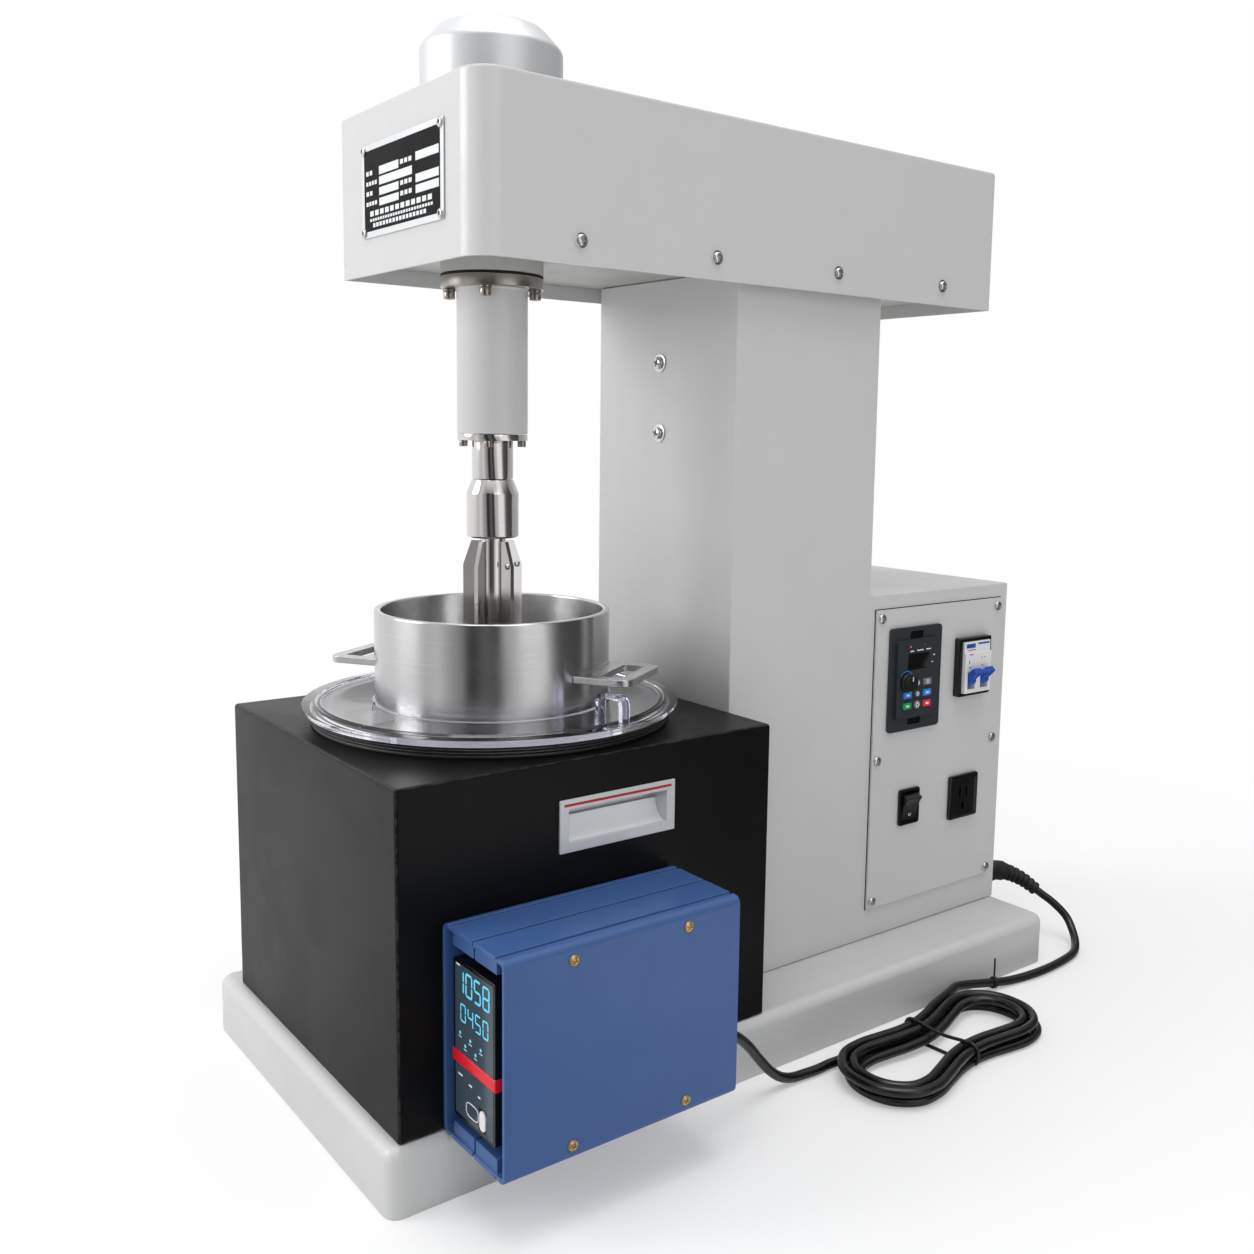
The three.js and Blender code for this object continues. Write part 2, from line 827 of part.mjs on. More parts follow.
// Stirrer: a tube with tapered upright vanes
function makeStirrer() {
  const vaneTop = sleeveBottom - vaneTopDrop;
  const vaneBottom = stirrerBottom + vaneFootLift;
  const tube = turned([
    [0, stirrerBottom],
    [stirrerTubeRadius, stirrerBottom],
    [stirrerTubeRadius, vaneTop],
    [spigotRadius, vaneTop],
    [spigotRadius, sleeveBottom + stirrerPlugLength],
    [0, sleeveBottom + stirrerPlugLength],
  ], 28);
  const outline = [
    [stirrerTubeRadius / 2, vaneBottom],
    [vaneFootRadius, vaneBottom],
    [vaneRadius, vaneBottom + vaneFootTaper],
    [vaneRadius, vaneTop - vaneTaper],
    [vaneTopRadius, vaneTop],
    [stirrerTubeRadius / 2, vaneTop],
  ].map(([x, z]) => new THREE.Vector2(x, z));
  const vanes = Array.from({ length: vaneCount }, (_, i) => {
    const angle = THREE.MathUtils.degToRad(vaneTurnDegrees) + (2 * Math.PI * i) / vaneCount;
    return raised(outline, -vaneThickness / 2, vaneThickness / 2)
      .rotateX(Math.PI / 2)
      .rotateZ(angle);
  });
  add("stirrer", carve(tube, vanes, []), "steel", [0, -spindleSetback, 0]);
}

// A pulley with two flanges, a web and a hub
function pulley(radius, bore, bottom) {
  const top = bottom + pulleyWidth;
  const web = bottom + (pulleyWidth - webThickness) / 2;
  const rim = radius - pulleyRim;
  return turned([
    [bore, bottom],
    [hubRadius, bottom],
    [hubRadius, web],
    [rim - pulleyRim, web],
    [rim - pulleyRim, bottom],
    [radius + pulleyFlange, bottom],
    [radius + pulleyFlange, bottom + pulleyFlange],
    [radius, bottom + pulleyFlange],
    [radius, top - pulleyFlange],
    [radius + pulleyFlange, top - pulleyFlange],
    [radius + pulleyFlange, top],
    [rim - pulleyRim, top],
    [rim - pulleyRim, web + webThickness],
    [hubRadius, web + webThickness],
    [hubRadius, top],
    [bore, top],
    [bore, bottom],
  ], 24);
}

// The outline of a band round two wheels on the Y axis, kept at one distance from both rims
function bandOutline(frontRadius, rearRadius, frontY, rearY, offset, steps) {
  const span = rearY - frontY;
  const lean = Math.asin((rearRadius - frontRadius) / span);
  const points = [];
  const arc = (y, radius, from, to) => {
    for (let i = 0; i <= steps; i += 1) {
      const angle = from + (to - from) * (i / steps);
      points.push(new THREE.Vector2(radius * Math.cos(angle), y + radius * Math.sin(angle)));
    }
  };
  arc(frontY, frontRadius + offset, Math.PI + lean, 2 * Math.PI - lean);
  arc(rearY, rearRadius + offset, -lean, Math.PI + lean);
  return points;
}

// Belt drive: pulleys on the spindle and the motor shaft with a flat belt round them
function makeBeltDrive() {
  const bottom = bedTop + pulleyLift;
  const motorY = columnDepth / 2;
  add("driven_pulley", pulley(drivenPulleyRadius, shaftRadius + seatGap, bottom), "darkSteel",
    [0, -spindleSetback, 0]);
  add("drive_pulley", pulley(drivePulleyRadius, motorShaftRadius + seatGap, bottom), "darkSteel",
    [0, motorY, 0]);
  const lane = pulleyFlange + beltRimGap;
  const outline = (offset) => bandOutline(
    drivenPulleyRadius, drivePulleyRadius, -spindleSetback, motorY, offset, 16,
  );
  add("drive_belt", raised(
    outline(seatGap + beltThickness), bottom + lane, bottom + pulleyWidth - lane,
    [outline(seatGap)],
  ), "rubber");
}

// Motor: finned body hung under the arm bed, its shaft and the bracket on the column's front
function makeMotor() {
  const top = bedUnderside - seatGap;
  const bodyTop = top - motorFlangeThickness;
  const bodyBottom = bodyTop - motorLength;
  const y = columnDepth / 2;
  const body = turned([
    [0, bodyBottom - motorFoot],
    [motorRadius * 0.8, bodyBottom - motorFoot],
    [motorRadius, bodyBottom],
    [motorRadius, bodyTop],
    [motorFlangeRadius, bodyTop],
    [motorFlangeRadius, top],
    [motorSpigotRadius, top],
    [motorSpigotRadius, top + bedThickness / 2],
    [motorShaftRadius + runningGap, top + bedThickness / 2],
    [motorShaftRadius + runningGap, top - motorFlangeThickness],
    [0, top - motorFlangeThickness],
  ], 32);
  const channels = Array.from({ length: motorFinCount }, (_, i) => {
    const channel = block(
      motorRadius - motorFinDepth, motorRadius + cutOverrun,
      -motorFinWidth / 2, motorFinWidth / 2,
      bodyBottom + motorFlangeThickness, bodyTop - motorFlangeThickness,
    );
    return channel.rotateZ((2 * Math.PI * i) / motorFinCount);
  });
  add("drive_motor", carve(body, [], channels), "darkSteel", [0, y, 0]);
  const shaftBottom = top - motorFlangeThickness + seatGap;
  add("motor_shaft", rod(motorShaftRadius, shaftBottom, shaftBottom + motorShaftReach, 24),
    "steel", [0, y, 0]);
  const wall = housingWall + seatGap;
  const plate = block(-bracketWidth / 2, bracketWidth / 2, wall, y,
    bracketBottom, bracketBottom + bracketHeight);
  const seat = rod(motorRadius + seatGap, bracketBottom - cutOverrun,
    bracketBottom + bracketHeight + cutOverrun, 48, 0, y);
  const rear = block(-bracketWidth, bracketWidth, y - motorRadius * 0.8, y + cutOverrun,
    bracketBottom - cutOverrun, bracketBottom + bracketHeight + cutOverrun);
  add("motor_bracket", carve(plate, [], [seat, rear]), "darkSteel");
}

// Bath housing: a painted sheet box, open below, round at the top for the tank
function makeBathHousing() {
  const radii = [bathEdgeRadius, bathEdgeRadius, bathEdgeRadius, bathEdgeRadius];
  const outer = softSlab(
    -bathHalfWidth, bathHalfWidth, -bathFront, -bathRear, floorOfHousing, bathTop, radii,
    bathEdgeRadius, 3, 2,
  );
  const inner = block(
    -bathHalfWidth + bathWall, bathHalfWidth - bathWall,
    -bathFront + bathWall, -bathRear - bathWall, floorOfHousing - cutOverrun, bathTop - bathWall,
  );
  const mouth = rod(tankRadius + tankWall + seatGap, bathTop - cutOverrun,
    bathTop + cutOverrun, 64, 0, -spindleSetback);
  const pullHole = block(
    bathHalfWidth - cutOverrun, bathHalfWidth + cutOverrun,
    -pullRearOffset - pullWidth + pullBorder - seatGap, -pullRearOffset - pullBorder + seatGap,
    pullBottom + pullBorder - seatGap, pullBottom + pullHeight - pullBorder + seatGap,
  );
  add("bath_housing", carve(outer, [], [inner, mouth, pullHole]), "blackPaint");
}

// Tank, rim ring, heater and pot stand, all turned about the spindle axis
function makeBath() {
  const axis = [0, -spindleSetback];
  const lip = bathTop + seatGap;
  add("bath_tank", turned([
    [0, tankFloor - tankWall],
    [tankRadius - tankCornerRadius, tankFloor - tankWall],
    [tankRadius + tankWall, tankFloor + tankCornerRadius],
    [tankRadius + tankWall, lip],
    [tankFlangeRadius, lip],
    [tankFlangeRadius, lip + tankWall],
    [tankRadius, lip + tankWall],
    [tankRadius, tankFloor + tankCornerRadius],
    [tankRadius - tankCornerRadius, tankFloor],
    [0, tankFloor],
  ], 48, ...axis), "steel");
  const ringTop = bathTop + ringHeight;
  const step = lip + tankWall + seatGap;
  const middle = (step + ringTop) / 2;
  add("bath_ring", turned([
    [tankRadius, step],
    [tankFlangeRadius + seatGap, step],
    [tankFlangeRadius + seatGap, lip],
    [ringRadius, lip],
    [ringRadius, middle - ringGroove],
    [ringRadius - ringGroove, middle],
    [ringRadius, middle + ringGroove],
    [ringRadius, ringTop],
    [tankRadius, ringTop],
    [tankRadius, step],
  ], 64, ...axis), "rubber");
  add("heater_ring", new THREE.TorusGeometry(heaterRadius, heaterTubeRadius, 6, 30),
    "copper", [0, -spindleSetback, tankFloor + seatGap + heaterTubeRadius]);
  const standTop = tankFloor + standHeight;
  const plate = turned([
    [standInner, standTop - standThickness], [standOuter, standTop - standThickness],
    [standOuter, standTop], [standInner, standTop], [standInner, standTop - standThickness],
  ], 28);
  const legs = Array.from({ length: standLegCount }, (_, i) => {
    const leg = block(
      standOuter - standThickness, standOuter,
      -standLegWidth / 2, standLegWidth / 2,
      tankFloor + seatGap, standTop - standThickness / 2,
    );
    const turn = (2 * Math.PI * (i + 0.5)) / standLegCount;
    return leg.translate(-standThickness, 0, 0).rotateZ(turn);
  });
  add("pot_stand", carve(plate, legs, []), "steel", [0, -spindleSetback, 0]);
}

// Pot: a thick walled vessel with two slotted plate handles
function makePot() {
  const bottom = tankFloor + standHeight + seatGap;
  const inner = potRadius - potWall;
  const handleLift = bottom + potHandleLift;
  add("leaching_pot", turned([
    [0, bottom],
    [potRadius - potCornerRadius, bottom],
    [potRadius, bottom + potCornerRadius],
    [potRadius, potRim - potRimChamfer],
    [potRadius - potRimChamfer, potRim],
    [inner + potRimChamfer, potRim],
    [inner, potRim - potRimChamfer],
    [inner, bottom + potFloor + potCornerRadius],
    [inner - potCornerRadius, bottom + potFloor],
    [0, bottom + potFloor],
  ], 64, 0, -spindleSetback), "steel");
  const half = potHandleWidth / 2;
  const reach = potRadius + potHandleReach;
  const root = potRadius * 0.7;
  const outline = roundedOutline(
    root, reach, -half, half,
    [potHandleBar / 4, potHandleCorner, potHandleCorner, potHandleBar / 4], 5,
  );
  const slot = roundedOutline(
    potRadius + potHandleBar, reach - potHandleBar, -half + potHandleBar, half - potHandleBar,
    Array(4).fill(potHandleBar / 4), 3,
  );
  const wall = rod(potRadius + seatGap, handleLift - cutOverrun,
    handleLift + potHandleThickness + cutOverrun, 64);
  for (const [name, half_turn] of [["right", 0], ["left", 1]]) {
    const turn = THREE.MathUtils.degToRad(potHandleTurnDegrees) + Math.PI * half_turn;
    const plate = raised(outline, handleLift, handleLift + potHandleThickness, [slot]);
    add(`pot_handle_${name}`, carve(plate, [], [wall]).rotateZ(turn), "steel",
      [0, -spindleSetback, 0]);
  }
}

// Clear cover: two half rings with fine ribs, each with an upright loop handle
function makeCovers() {
  const bottom = bathTop + ringHeight + seatGap;
  const top = bottom + coverThickness;
  const ribs = [0, 1].flatMap((i) => {
    const inner = coverRibInner + i * coverRibPitch;
    return [
      [inner + coverRibWidth, top],
      [inner + coverRibWidth / 2, top + coverRibHeight],
      [inner, top],
    ].map(([radius, z]) => [radius, z, i]);
  });
  const ordered = [...ribs.filter((rib) => rib[2] === 1), ...ribs.filter((rib) => rib[2] === 0)]
    .map(([radius, z]) => [radius, z]);
  const ring = turned([
    [coverBore, bottom],
    [coverRadius - coverRebate, bottom],
    [coverRadius - coverRebate, bottom + coverRebate],
    [coverRadius, bottom + coverRebate],
    [coverRadius, top],
    ...ordered,
    [coverBore, top],
    [coverBore, bottom],
  ], 60);
  const start = coverHandleStart;
  const end = coverHandleStart + coverHandleReach;
  const rise = top + coverHandleHeight;
  const outer = roundedOutline(start, end, top - coverThickness / 2, rise,
    [coverHandleBar / 4, coverHandleBar / 4, coverHandleCorner, coverHandleCorner], 4);
  const hole = roundedOutline(
    start + coverHandleBar, end - coverHandleBar, top + seatGap, rise - coverHandleBar,
    [coverHandleBar / 4, coverHandleBar / 4,
      coverHandleCorner - coverHandleBar, coverHandleCorner - coverHandleBar], 4,
  );
  const loop = raised(outer, -coverHandleWidth / 2, coverHandleWidth / 2, [hole])
    .rotateX(Math.PI / 2)
    .rotateZ(THREE.MathUtils.degToRad(coverHandleTurnDegrees));
  const turn = THREE.MathUtils.degToRad(coverTurnDegrees);
  for (const [name, half_turn] of [["right", 0], ["left", 1]]) {
    const away = block(
      -coverRadius - cutOverrun, seatGap / 2, -coverRadius - cutOverrun, coverRadius + cutOverrun,
      bottom - cutOverrun, rise + cutOverrun,
    );
    add(`cover_${name}`, carve(ring, [loop], [away]).rotateZ(turn + Math.PI * half_turn),
      "acrylic", [0, -spindleSetback, 0]);
  }
}

// Recessed pull: a bordered face with a rounded pocket behind it
function makePull() {
  const y0 = -pullRearOffset - pullWidth;
  const y1 = -pullRearOffset;
  const z1 = pullBottom + pullHeight;
  const face = block(bathHalfWidth + seatGap, bathHalfWidth + seatGap + pullFace, y0, y1,
    pullBottom, z1);
  const pocketOutline = (grow) => {
    const radius = (pullHeight / 2 - pullBorder) / 2 + grow;
    return roundedOutline(
      -pullDepth - grow, pullFace + cutOverrun, pullBottom + pullBorder - grow,
      z1 - pullBorder + grow, [radius, grow / 2 + pullWall, grow / 2 + pullWall, radius], 4,
    );
  };
  const along = (outline, from, to) => raised(outline, from, to)
    .rotateX(Math.PI / 2)
    .translate(bathHalfWidth + seatGap, 0, 0);
  const shellCut = block(
    bathHalfWidth + seatGap + pullFace, bathHalfWidth + 3 * cutOverrun,
    y0 - cutOverrun, y1 + cutOverrun, pullBottom - cutOverrun, z1 + cutOverrun,
  );
  const shell = along(pocketOutline(-seatGap), -(y1 - pullBorder - seatGap),
    -(y0 + pullBorder + seatGap));
  const pocket = along(pocketOutline(-seatGap - pullWall), -(y1 - pullBorder - seatGap - pullWall),
    -(y0 + pullBorder + seatGap + pullWall));
  add("pull_handle", carve(face, [shell], [pocket, shellCut]), "silver");
}

// Controller case: two half shells with lengthwise grooves, a front and a rear panel
function makeCase() {
  const x0 = bathHalfWidth + seatGap;
  const x1 = x0 + caseWidth;
  const middle = (x0 + x1) / 2;
  const z0 = floorOfHousing;
  const z1 = z0 + caseHeight;
  const halfShell = (side) => {
    const outer = raised(
      roundedOutline(x0, x1, z0, z1, Array(4).fill(caseCorner), 3), 0, caseFront - caseRear,
    );
    const hollow = raised(
      roundedOutline(x0 + caseWall, x1 - caseWall, z0 + caseWall, z1 - caseWall,
        Array(4).fill(caseCorner - caseWall), 3),
      -cutOverrun, caseFront - caseRear + cutOverrun,
    );
    const far = caseWidth + cutOverrun;
    const otherHalf = side < 0
      ? raised(rectangle(middle - caseJointGap / 2, middle + far, z0 - cutOverrun,
        z1 + cutOverrun), -cutOverrun, caseFront - caseRear + cutOverrun)
      : raised(rectangle(middle - far, middle + caseJointGap / 2, z0 - cutOverrun,
        z1 + cutOverrun), -cutOverrun, caseFront - caseRear + cutOverrun);
    const grooveCentre = side < 0 ? x0 + caseGrooveInset : x1 - caseGrooveInset;
    const grooves = [z0, z1].map((z) => raised(
      rectangle(grooveCentre - caseGroove / 2, grooveCentre + caseGroove / 2,
        z - caseGrooveDepth, z + caseGrooveDepth),
      -cutOverrun, caseFront - caseRear + cutOverrun,
    ));
    const length = caseFront - caseRear;
    const blockSide = grooveCentre - side * caseGroove / 2;
    const blockEnds = [blockSide, middle + side * caseJointGap / 2].sort((a, b) => a - b);
    const blocks = [
      [z0 + caseWall / 2, z0 + caseBlockHeight],
      [z1 - caseBlockHeight, z1 - caseWall / 2],
    ].map(([low, high]) => block(
      ...blockEnds, low, high, length - caseBlockDepth, length - caseBlockSetback,
    ));
    const shell = carve(outer, [], [hollow, otherHalf, ...grooves]);
    return carve(shell, blocks, [])
      .rotateX(Math.PI / 2)
      .translate(0, -caseRear, 0);
  };
  add("case_inner_shell", halfShell(-1), "bluePlastic");
  add("case_outer_shell", halfShell(1), "bluePlastic");
  const inset = caseWall + seatGap;
  const panelBox = (front) => raised(
    roundedOutline(x0 + inset, x1 - inset, z0 + inset, z1 - inset,
      Array(4).fill(caseCorner - caseWall), 3),
    0, casePanelThickness,
  ).rotateX(Math.PI / 2).translate(0, front + casePanelThickness, 0);
  const controllerMiddle = middle + controllerSideShift;
  const controllerUp = controllerBottom + controllerHeight / 2;
  const panelFront = -caseFront + casePanelInset;
  const opening = block(
    controllerMiddle - controllerBodyWidth / 2 - seatGap,
    controllerMiddle + controllerBodyWidth / 2 + seatGap,
    panelFront - cutOverrun, panelFront + casePanelThickness + cutOverrun,
    controllerUp - controllerBodyHeight / 2 - seatGap,
    controllerUp + controllerBodyHeight / 2 + seatGap,
  );
  add("case_front_panel", carve(panelBox(panelFront), [], [opening]), "bluePlastic");
  const rearFace = -caseRear - casePanelThickness;
  const gland = rod(caseGlandRadius, 0, casePanelThickness + caseGlandLength, 20)
    .rotateX(-Math.PI / 2)
    .translate(middle, rearFace, z0 + caseGlandUp);
  add("case_rear_panel", carve(panelBox(rearFace), [gland], []), "bluePlastic");

  const faceBack = panelFront - seatGap;
  const faceFront = faceBack - controllerFaceDepth;
  const keyX = controllerMiddle - controllerWidth / 2 + ovalKeyAcross;
  const keyZ = controllerBottom + ovalKeyUp;
  const oval = (grow) => roundedOutline(
    keyX - ovalKeyWidth / 2 - grow, keyX + ovalKeyWidth / 2 + grow,
    keyZ - ovalKeyHeight / 2 - grow, keyZ + ovalKeyHeight / 2 + grow,
    Array(4).fill(ovalKeyWidth / 2 + grow - seatGap / 10), 5,
  );
  const faceOutline = roundedOutline(
    controllerMiddle - controllerWidth / 2, controllerMiddle + controllerWidth / 2,
    controllerBottom, controllerBottom + controllerHeight,
    Array(4).fill(controllerFaceCorner), 3,
  );
  const face = raised(faceOutline, 0, controllerFaceDepth)
    .rotateX(Math.PI / 2)
    .translate(0, faceBack, 0);
  const keyWell = raised(oval(seatGap), -cutOverrun, ovalKeyDepth + ovalKeyTravel)
    .rotateX(Math.PI / 2)
    .translate(0, faceFront + ovalKeyDepth + ovalKeyTravel, 0);
  add("controller_face", carve(face, [], [keyWell]), "blackPlastic");
  const key = raised(oval(0), 0, ovalKeyDepth + ovalKeyProud - seatGap)
    .rotateX(Math.PI / 2)
    .translate(0, faceFront + ovalKeyDepth - seatGap, 0);
  add("controller_key", key, "whitePlastic");
  add("controller_body", block(
    controllerMiddle - controllerBodyWidth / 2, controllerMiddle + controllerBodyWidth / 2,
    panelFront, panelFront + controllerBodyDepth,
    controllerUp - controllerBodyHeight / 2, controllerUp + controllerBodyHeight / 2,
  ), "blackPlastic");
}

// A box seen from the panel's front: across (+Y) and up from the panel's front lower corner,
// between two distances out from the cabinet's side
function panelBlock(across, up, width, height, out0, out1) {
  const y = columnDepth + panelFrontInset + across;
  const z = panelBottom + up;
  return block(columnRight + out0, columnRight + out1, y - width / 2, y + width / 2,
    z - height / 2, z + height / 2);
}

function panelRound(across, up, radius, out0, out1, segments = 20) {
  const y = columnDepth + panelFrontInset + across;
  const z = panelBottom + up;
  return rod(radius, out0, out1, segments).rotateY(Math.PI / 2).translate(columnRight, y, z);
}

function panelSlab(across, up, width, height, radius, out0, out1) {
  const y = columnDepth + panelFrontInset + across;
  const z = panelBottom + up;
  const outline = roundedOutline(y - width / 2, y + width / 2, z - height / 2, z + height / 2,
    Array(4).fill(radius), 3);
  return raisedAlongX(outline, columnRight + out0, columnRight + out1);
}

const panelFace = seatGap + panelThickness;
const deviceFoot = panelFace + seatGap;
const driveFace = deviceFoot + driveProud;
const keypadFace = driveFace + keypadRaise;

// The places of the keys, three across and three up
function keypadPlace(column, row) {
  return [
    driveAcross - keyGridShift + (column - 1) * keyPitchAcross,
    driveUp - keyGridDrop + row * keyPitchUp,
  ];
}

const keys = [
  { name: "key_run", column: 0, row: -1, finish: "greenKey", kind: "slab" },
  { name: "key_stop", column: 2, row: -1, finish: "redKey", kind: "slab" },
  { name: "key_down", column: 0, row: 0, finish: "blueKey", kind: "slab" },
  { name: "key_up", column: 2, row: 0, finish: "blueKey", kind: "slab" },
  { name: "key_mode", column: 2, row: 1, finish: "greyKey", kind: "slab" },
  { name: "key_shift", column: 1, row: -1, finish: "greyKey", kind: "round" },
  { name: "key_enter", column: 1, row: 0, finish: "greyKey", kind: "small" },
  { name: "key_menu", column: 1, row: 1, finish: "greyKey", kind: "small" },
];

function keyBody(key, grow, out0, out1) {
  const [across, up] = keypadPlace(key.column, key.row);
  if (key.kind === "slab") {
    return panelSlab(across, up, keyWidth + 2 * grow, keyHeight + 2 * grow,
      keyCornerRadius + grow, out0, out1);
  }
  const radius = key.kind === "round" ? roundKeyRadius : smallKeyRadius;
  return panelRound(across, up, radius + grow, out0, out1, 16);
}

// Speed drive: the body behind the panel, the bezel with its keypad, the knob and the keys
function makeSpeedDrive() {
  const bodyOut = deviceFoot - seatGap;
  add("drive_unit", panelBlock(driveAcross, driveUp, driveBodyWidth, driveBodyHeight,
    bodyOut - driveBodyDepth, bodyOut), "slatePlastic");
  const slab = panelSlab(driveAcross, driveUp, driveWidth, driveHeight, driveCorner,
    deviceFoot, driveFace);
  const keypad = panelSlab(driveAcross - keypadDrop, driveUp + keypadDrop, keypadWidth,
    keypadHeight, driveCorner, deviceFoot, keypadFace);
  const notches = [-1, 1].map((side) => panelSlab(
    driveAcross, driveUp + keypadDrop + side * (keypadHeight + driveNotchHeight) / 2,
    driveNotchWidth, driveNotchHeight, driveCorner / 2,
    deviceFoot + driveProud / 4, driveFace + cutOverrun,
  ));
  const wells = keys.map((key) => keyBody(key, seatGap, keypadFace - keyDepth - keyTravel,
    keypadFace + cutOverrun));
  const knobAcross = driveAcross - knobShift;
  const knobUp = driveUp - knobDrop;
  const knobWell = panelRound(knobAcross, knobUp, knobRadius / 2, keypadFace - keyDepth,
    keypadFace + cutOverrun);
  add("drive_bezel", carve(slab, [keypad], [...notches, ...wells, knobWell]), "slatePlastic");
  for (const key of keys) {
    add(key.name, keyBody(key, 0, keypadFace - keyDepth + seatGap, keypadFace + keyProud),
      key.finish);
  }
  const stem = knobRadius / 2 - runningGap;
  const foot = keypadFace + runningGap;
  const knob = turned([
    [0, keypadFace - keyDepth + runningGap],
    [stem, keypadFace - keyDepth + runningGap],
    [stem, foot],
    [knobRadius, foot],
    [knobRadius, foot + knobHeight / 4],
    [knobRadius - knobWaist, foot + knobHeight / 2],
    [knobRadius - knobWaist, foot + knobHeight],
    [0, foot + knobHeight],
  ], 24);
  const pointer = block(-knobPointer / 2, knobPointer / 2, 0, knobRadius + cutOverrun,
    foot + knobHeight - knobPointer / 2, foot + knobHeight + cutOverrun);
  const y = columnDepth + panelFrontInset + knobAcross;
  const z = panelBottom + knobUp;
  add("speed_knob", carve(knob, [], [pointer]).rotateX(Math.PI / 2).rotateZ(Math.PI / 2),
    "blackPlastic", [columnRight, y, z]);
}

// Breaker: a stepped body in an escutcheon and two toggles tied by a bar
function makeBreaker() {
  const front = deviceFoot + breakerProud;
  const hubOut = front - toggleSink;
  const escutcheon = panelBlock(breakerAcross, breakerUp, breakerFrameWidth, breakerFrameHeight,
    deviceFoot, deviceFoot + breakerFrameThickness);
  const body = panelBlock(breakerAcross, breakerUp, breakerBodyWidth, breakerBodyHeight,
    deviceFoot - breakerDepth, front);
  const steps = [-1, 1].map((side) => panelBlock(
    breakerAcross, breakerUp + side * (breakerBodyHeight - breakerStepHeight) / 2,
    breakerBodyWidth + cutOverrun, breakerStepHeight + seatGap,
    front - breakerStepDepth * (side + 1) / 2, front + cutOverrun,
  ));
  const y = columnDepth + panelFrontInset + breakerAcross;
  const z = panelBottom + breakerUp - toggleDrop;
  const shifts = [-togglePitch / 2, togglePitch / 2];
  const wellHalf = toggleWidth / 2 + runningGap;
  const wells = shifts.map((shift) => rod(
    toggleHubRadius + 2 * runningGap + toggleThickness / 2, -wellHalf, wellHalf, 20,
  ).rotateX(Math.PI / 2).translate(columnRight + hubOut, y + shift, z));
  add("breaker_body", carve(body, [escutcheon], [steps[1], ...wells]), "whitePlastic");
  const tip = toggleHubRadius + toggleReach;
  const levers = shifts.map((shift) => block(
    0, tip, shift - toggleWidth / 2, shift + toggleWidth / 2,
    -toggleThickness / 2, toggleThickness / 2,
  ));
  const tie = block(
    tip - tieBarThickness, tip,
    -togglePitch / 2 - toggleWidth / 2, togglePitch / 2 + toggleWidth / 2,
    -toggleThickness / 2, tieBarThickness - toggleThickness / 2,
  );
  const hubs = shifts.map((shift) => rod(toggleHubRadius, -toggleWidth / 2, toggleWidth / 2, 20)
    .rotateX(Math.PI / 2)
    .translate(0, shift, 0));
  const toggle = carve(tie, [...levers, ...hubs], [])
    .rotateY(-THREE.MathUtils.degToRad(toggleTiltDegrees));
  add("breaker_toggle", toggle, "blueKey", [columnRight + hubOut, y, z]);
}

// Rocker switch: a pocketed frame and a rocking wedge on a pivot across it
function makeRocker() {
  const y = columnDepth + panelFrontInset + rockerAcross;
  const z = panelBottom + rockerUp;
  const front = deviceFoot + rockerFrameProud;
  const frame = panelSlab(rockerAcross, rockerUp, rockerFrameWidth, rockerFrameHeight,
    rockerFrameProud, deviceFoot, front);
  const body = panelBlock(rockerAcross, rockerUp, rockerFrameWidth - rockerBodyShrink,
    rockerFrameHeight - rockerBodyShrink, deviceFoot - rockerBodyDepth, deviceFoot + seatGap);
  const pocket = panelBlock(rockerAcross, rockerUp, rockerWidth + 2 * runningGap,
    rockerHeight + 4 * runningGap, front - rockerPocket, front + cutOverrun);
  add("rocker_frame", carve(frame, [body], [pocket]), "blackPlastic");
  const half = rockerHeight / 2;
  const face = front - rockerDip;
  const outline = [
    [-half, face],
    [0, front + rockerRidge],
    [half * rockerApexShare, front + rockerRise],
    [half - rockerDip, front],
    [half - rockerTuck, front - rockerHubRadius],
    [0, front - rockerBelly],
    [-half + rockerTuck, front - rockerHubRadius],
  ].map(([up, out]) => new THREE.Vector2(out, up));
  const wedge = raised(outline, -rockerWidth / 2, rockerWidth / 2)
    .rotateX(Math.PI / 2)
    .translate(columnRight, y, z);
  add("rocker_switch", wedge, "blackPlastic");
}

// Outlet: a face with three straight slots and a body behind the panel
function makeOutlet() {
  const front = deviceFoot + socketProud;
  const face = panelSlab(socketAcross, socketUp, socketWidth, socketHeight,
    socketCornerRadius, deviceFoot, front);
  const body = panelBlock(socketAcross, socketUp, socketWidth - socketBodyShrink,
    socketHeight - socketBodyShrink, deviceFoot - socketBodyDepth, deviceFoot + seatGap);
  const slot = (across, up, width, height) => panelBlock(
    socketAcross + across, socketUp + up, width, height, front - socketSlotDepth,
    front + cutOverrun,
  );
  const cuts = [
    slot(-socketSlotSpread / 2, socketEarthDrop / 2, socketSlotWidth, socketSlotLength),
    slot(socketSlotSpread / 2, socketEarthDrop / 2, socketSlotWidth, socketSlotLength),
    slot(0, -socketEarthDrop, socketSlotWidth * 1.4, socketSlotLength * 0.8),
  ];
  add("socket_outlet", carve(face, [body], cuts), "blackPlastic");
}

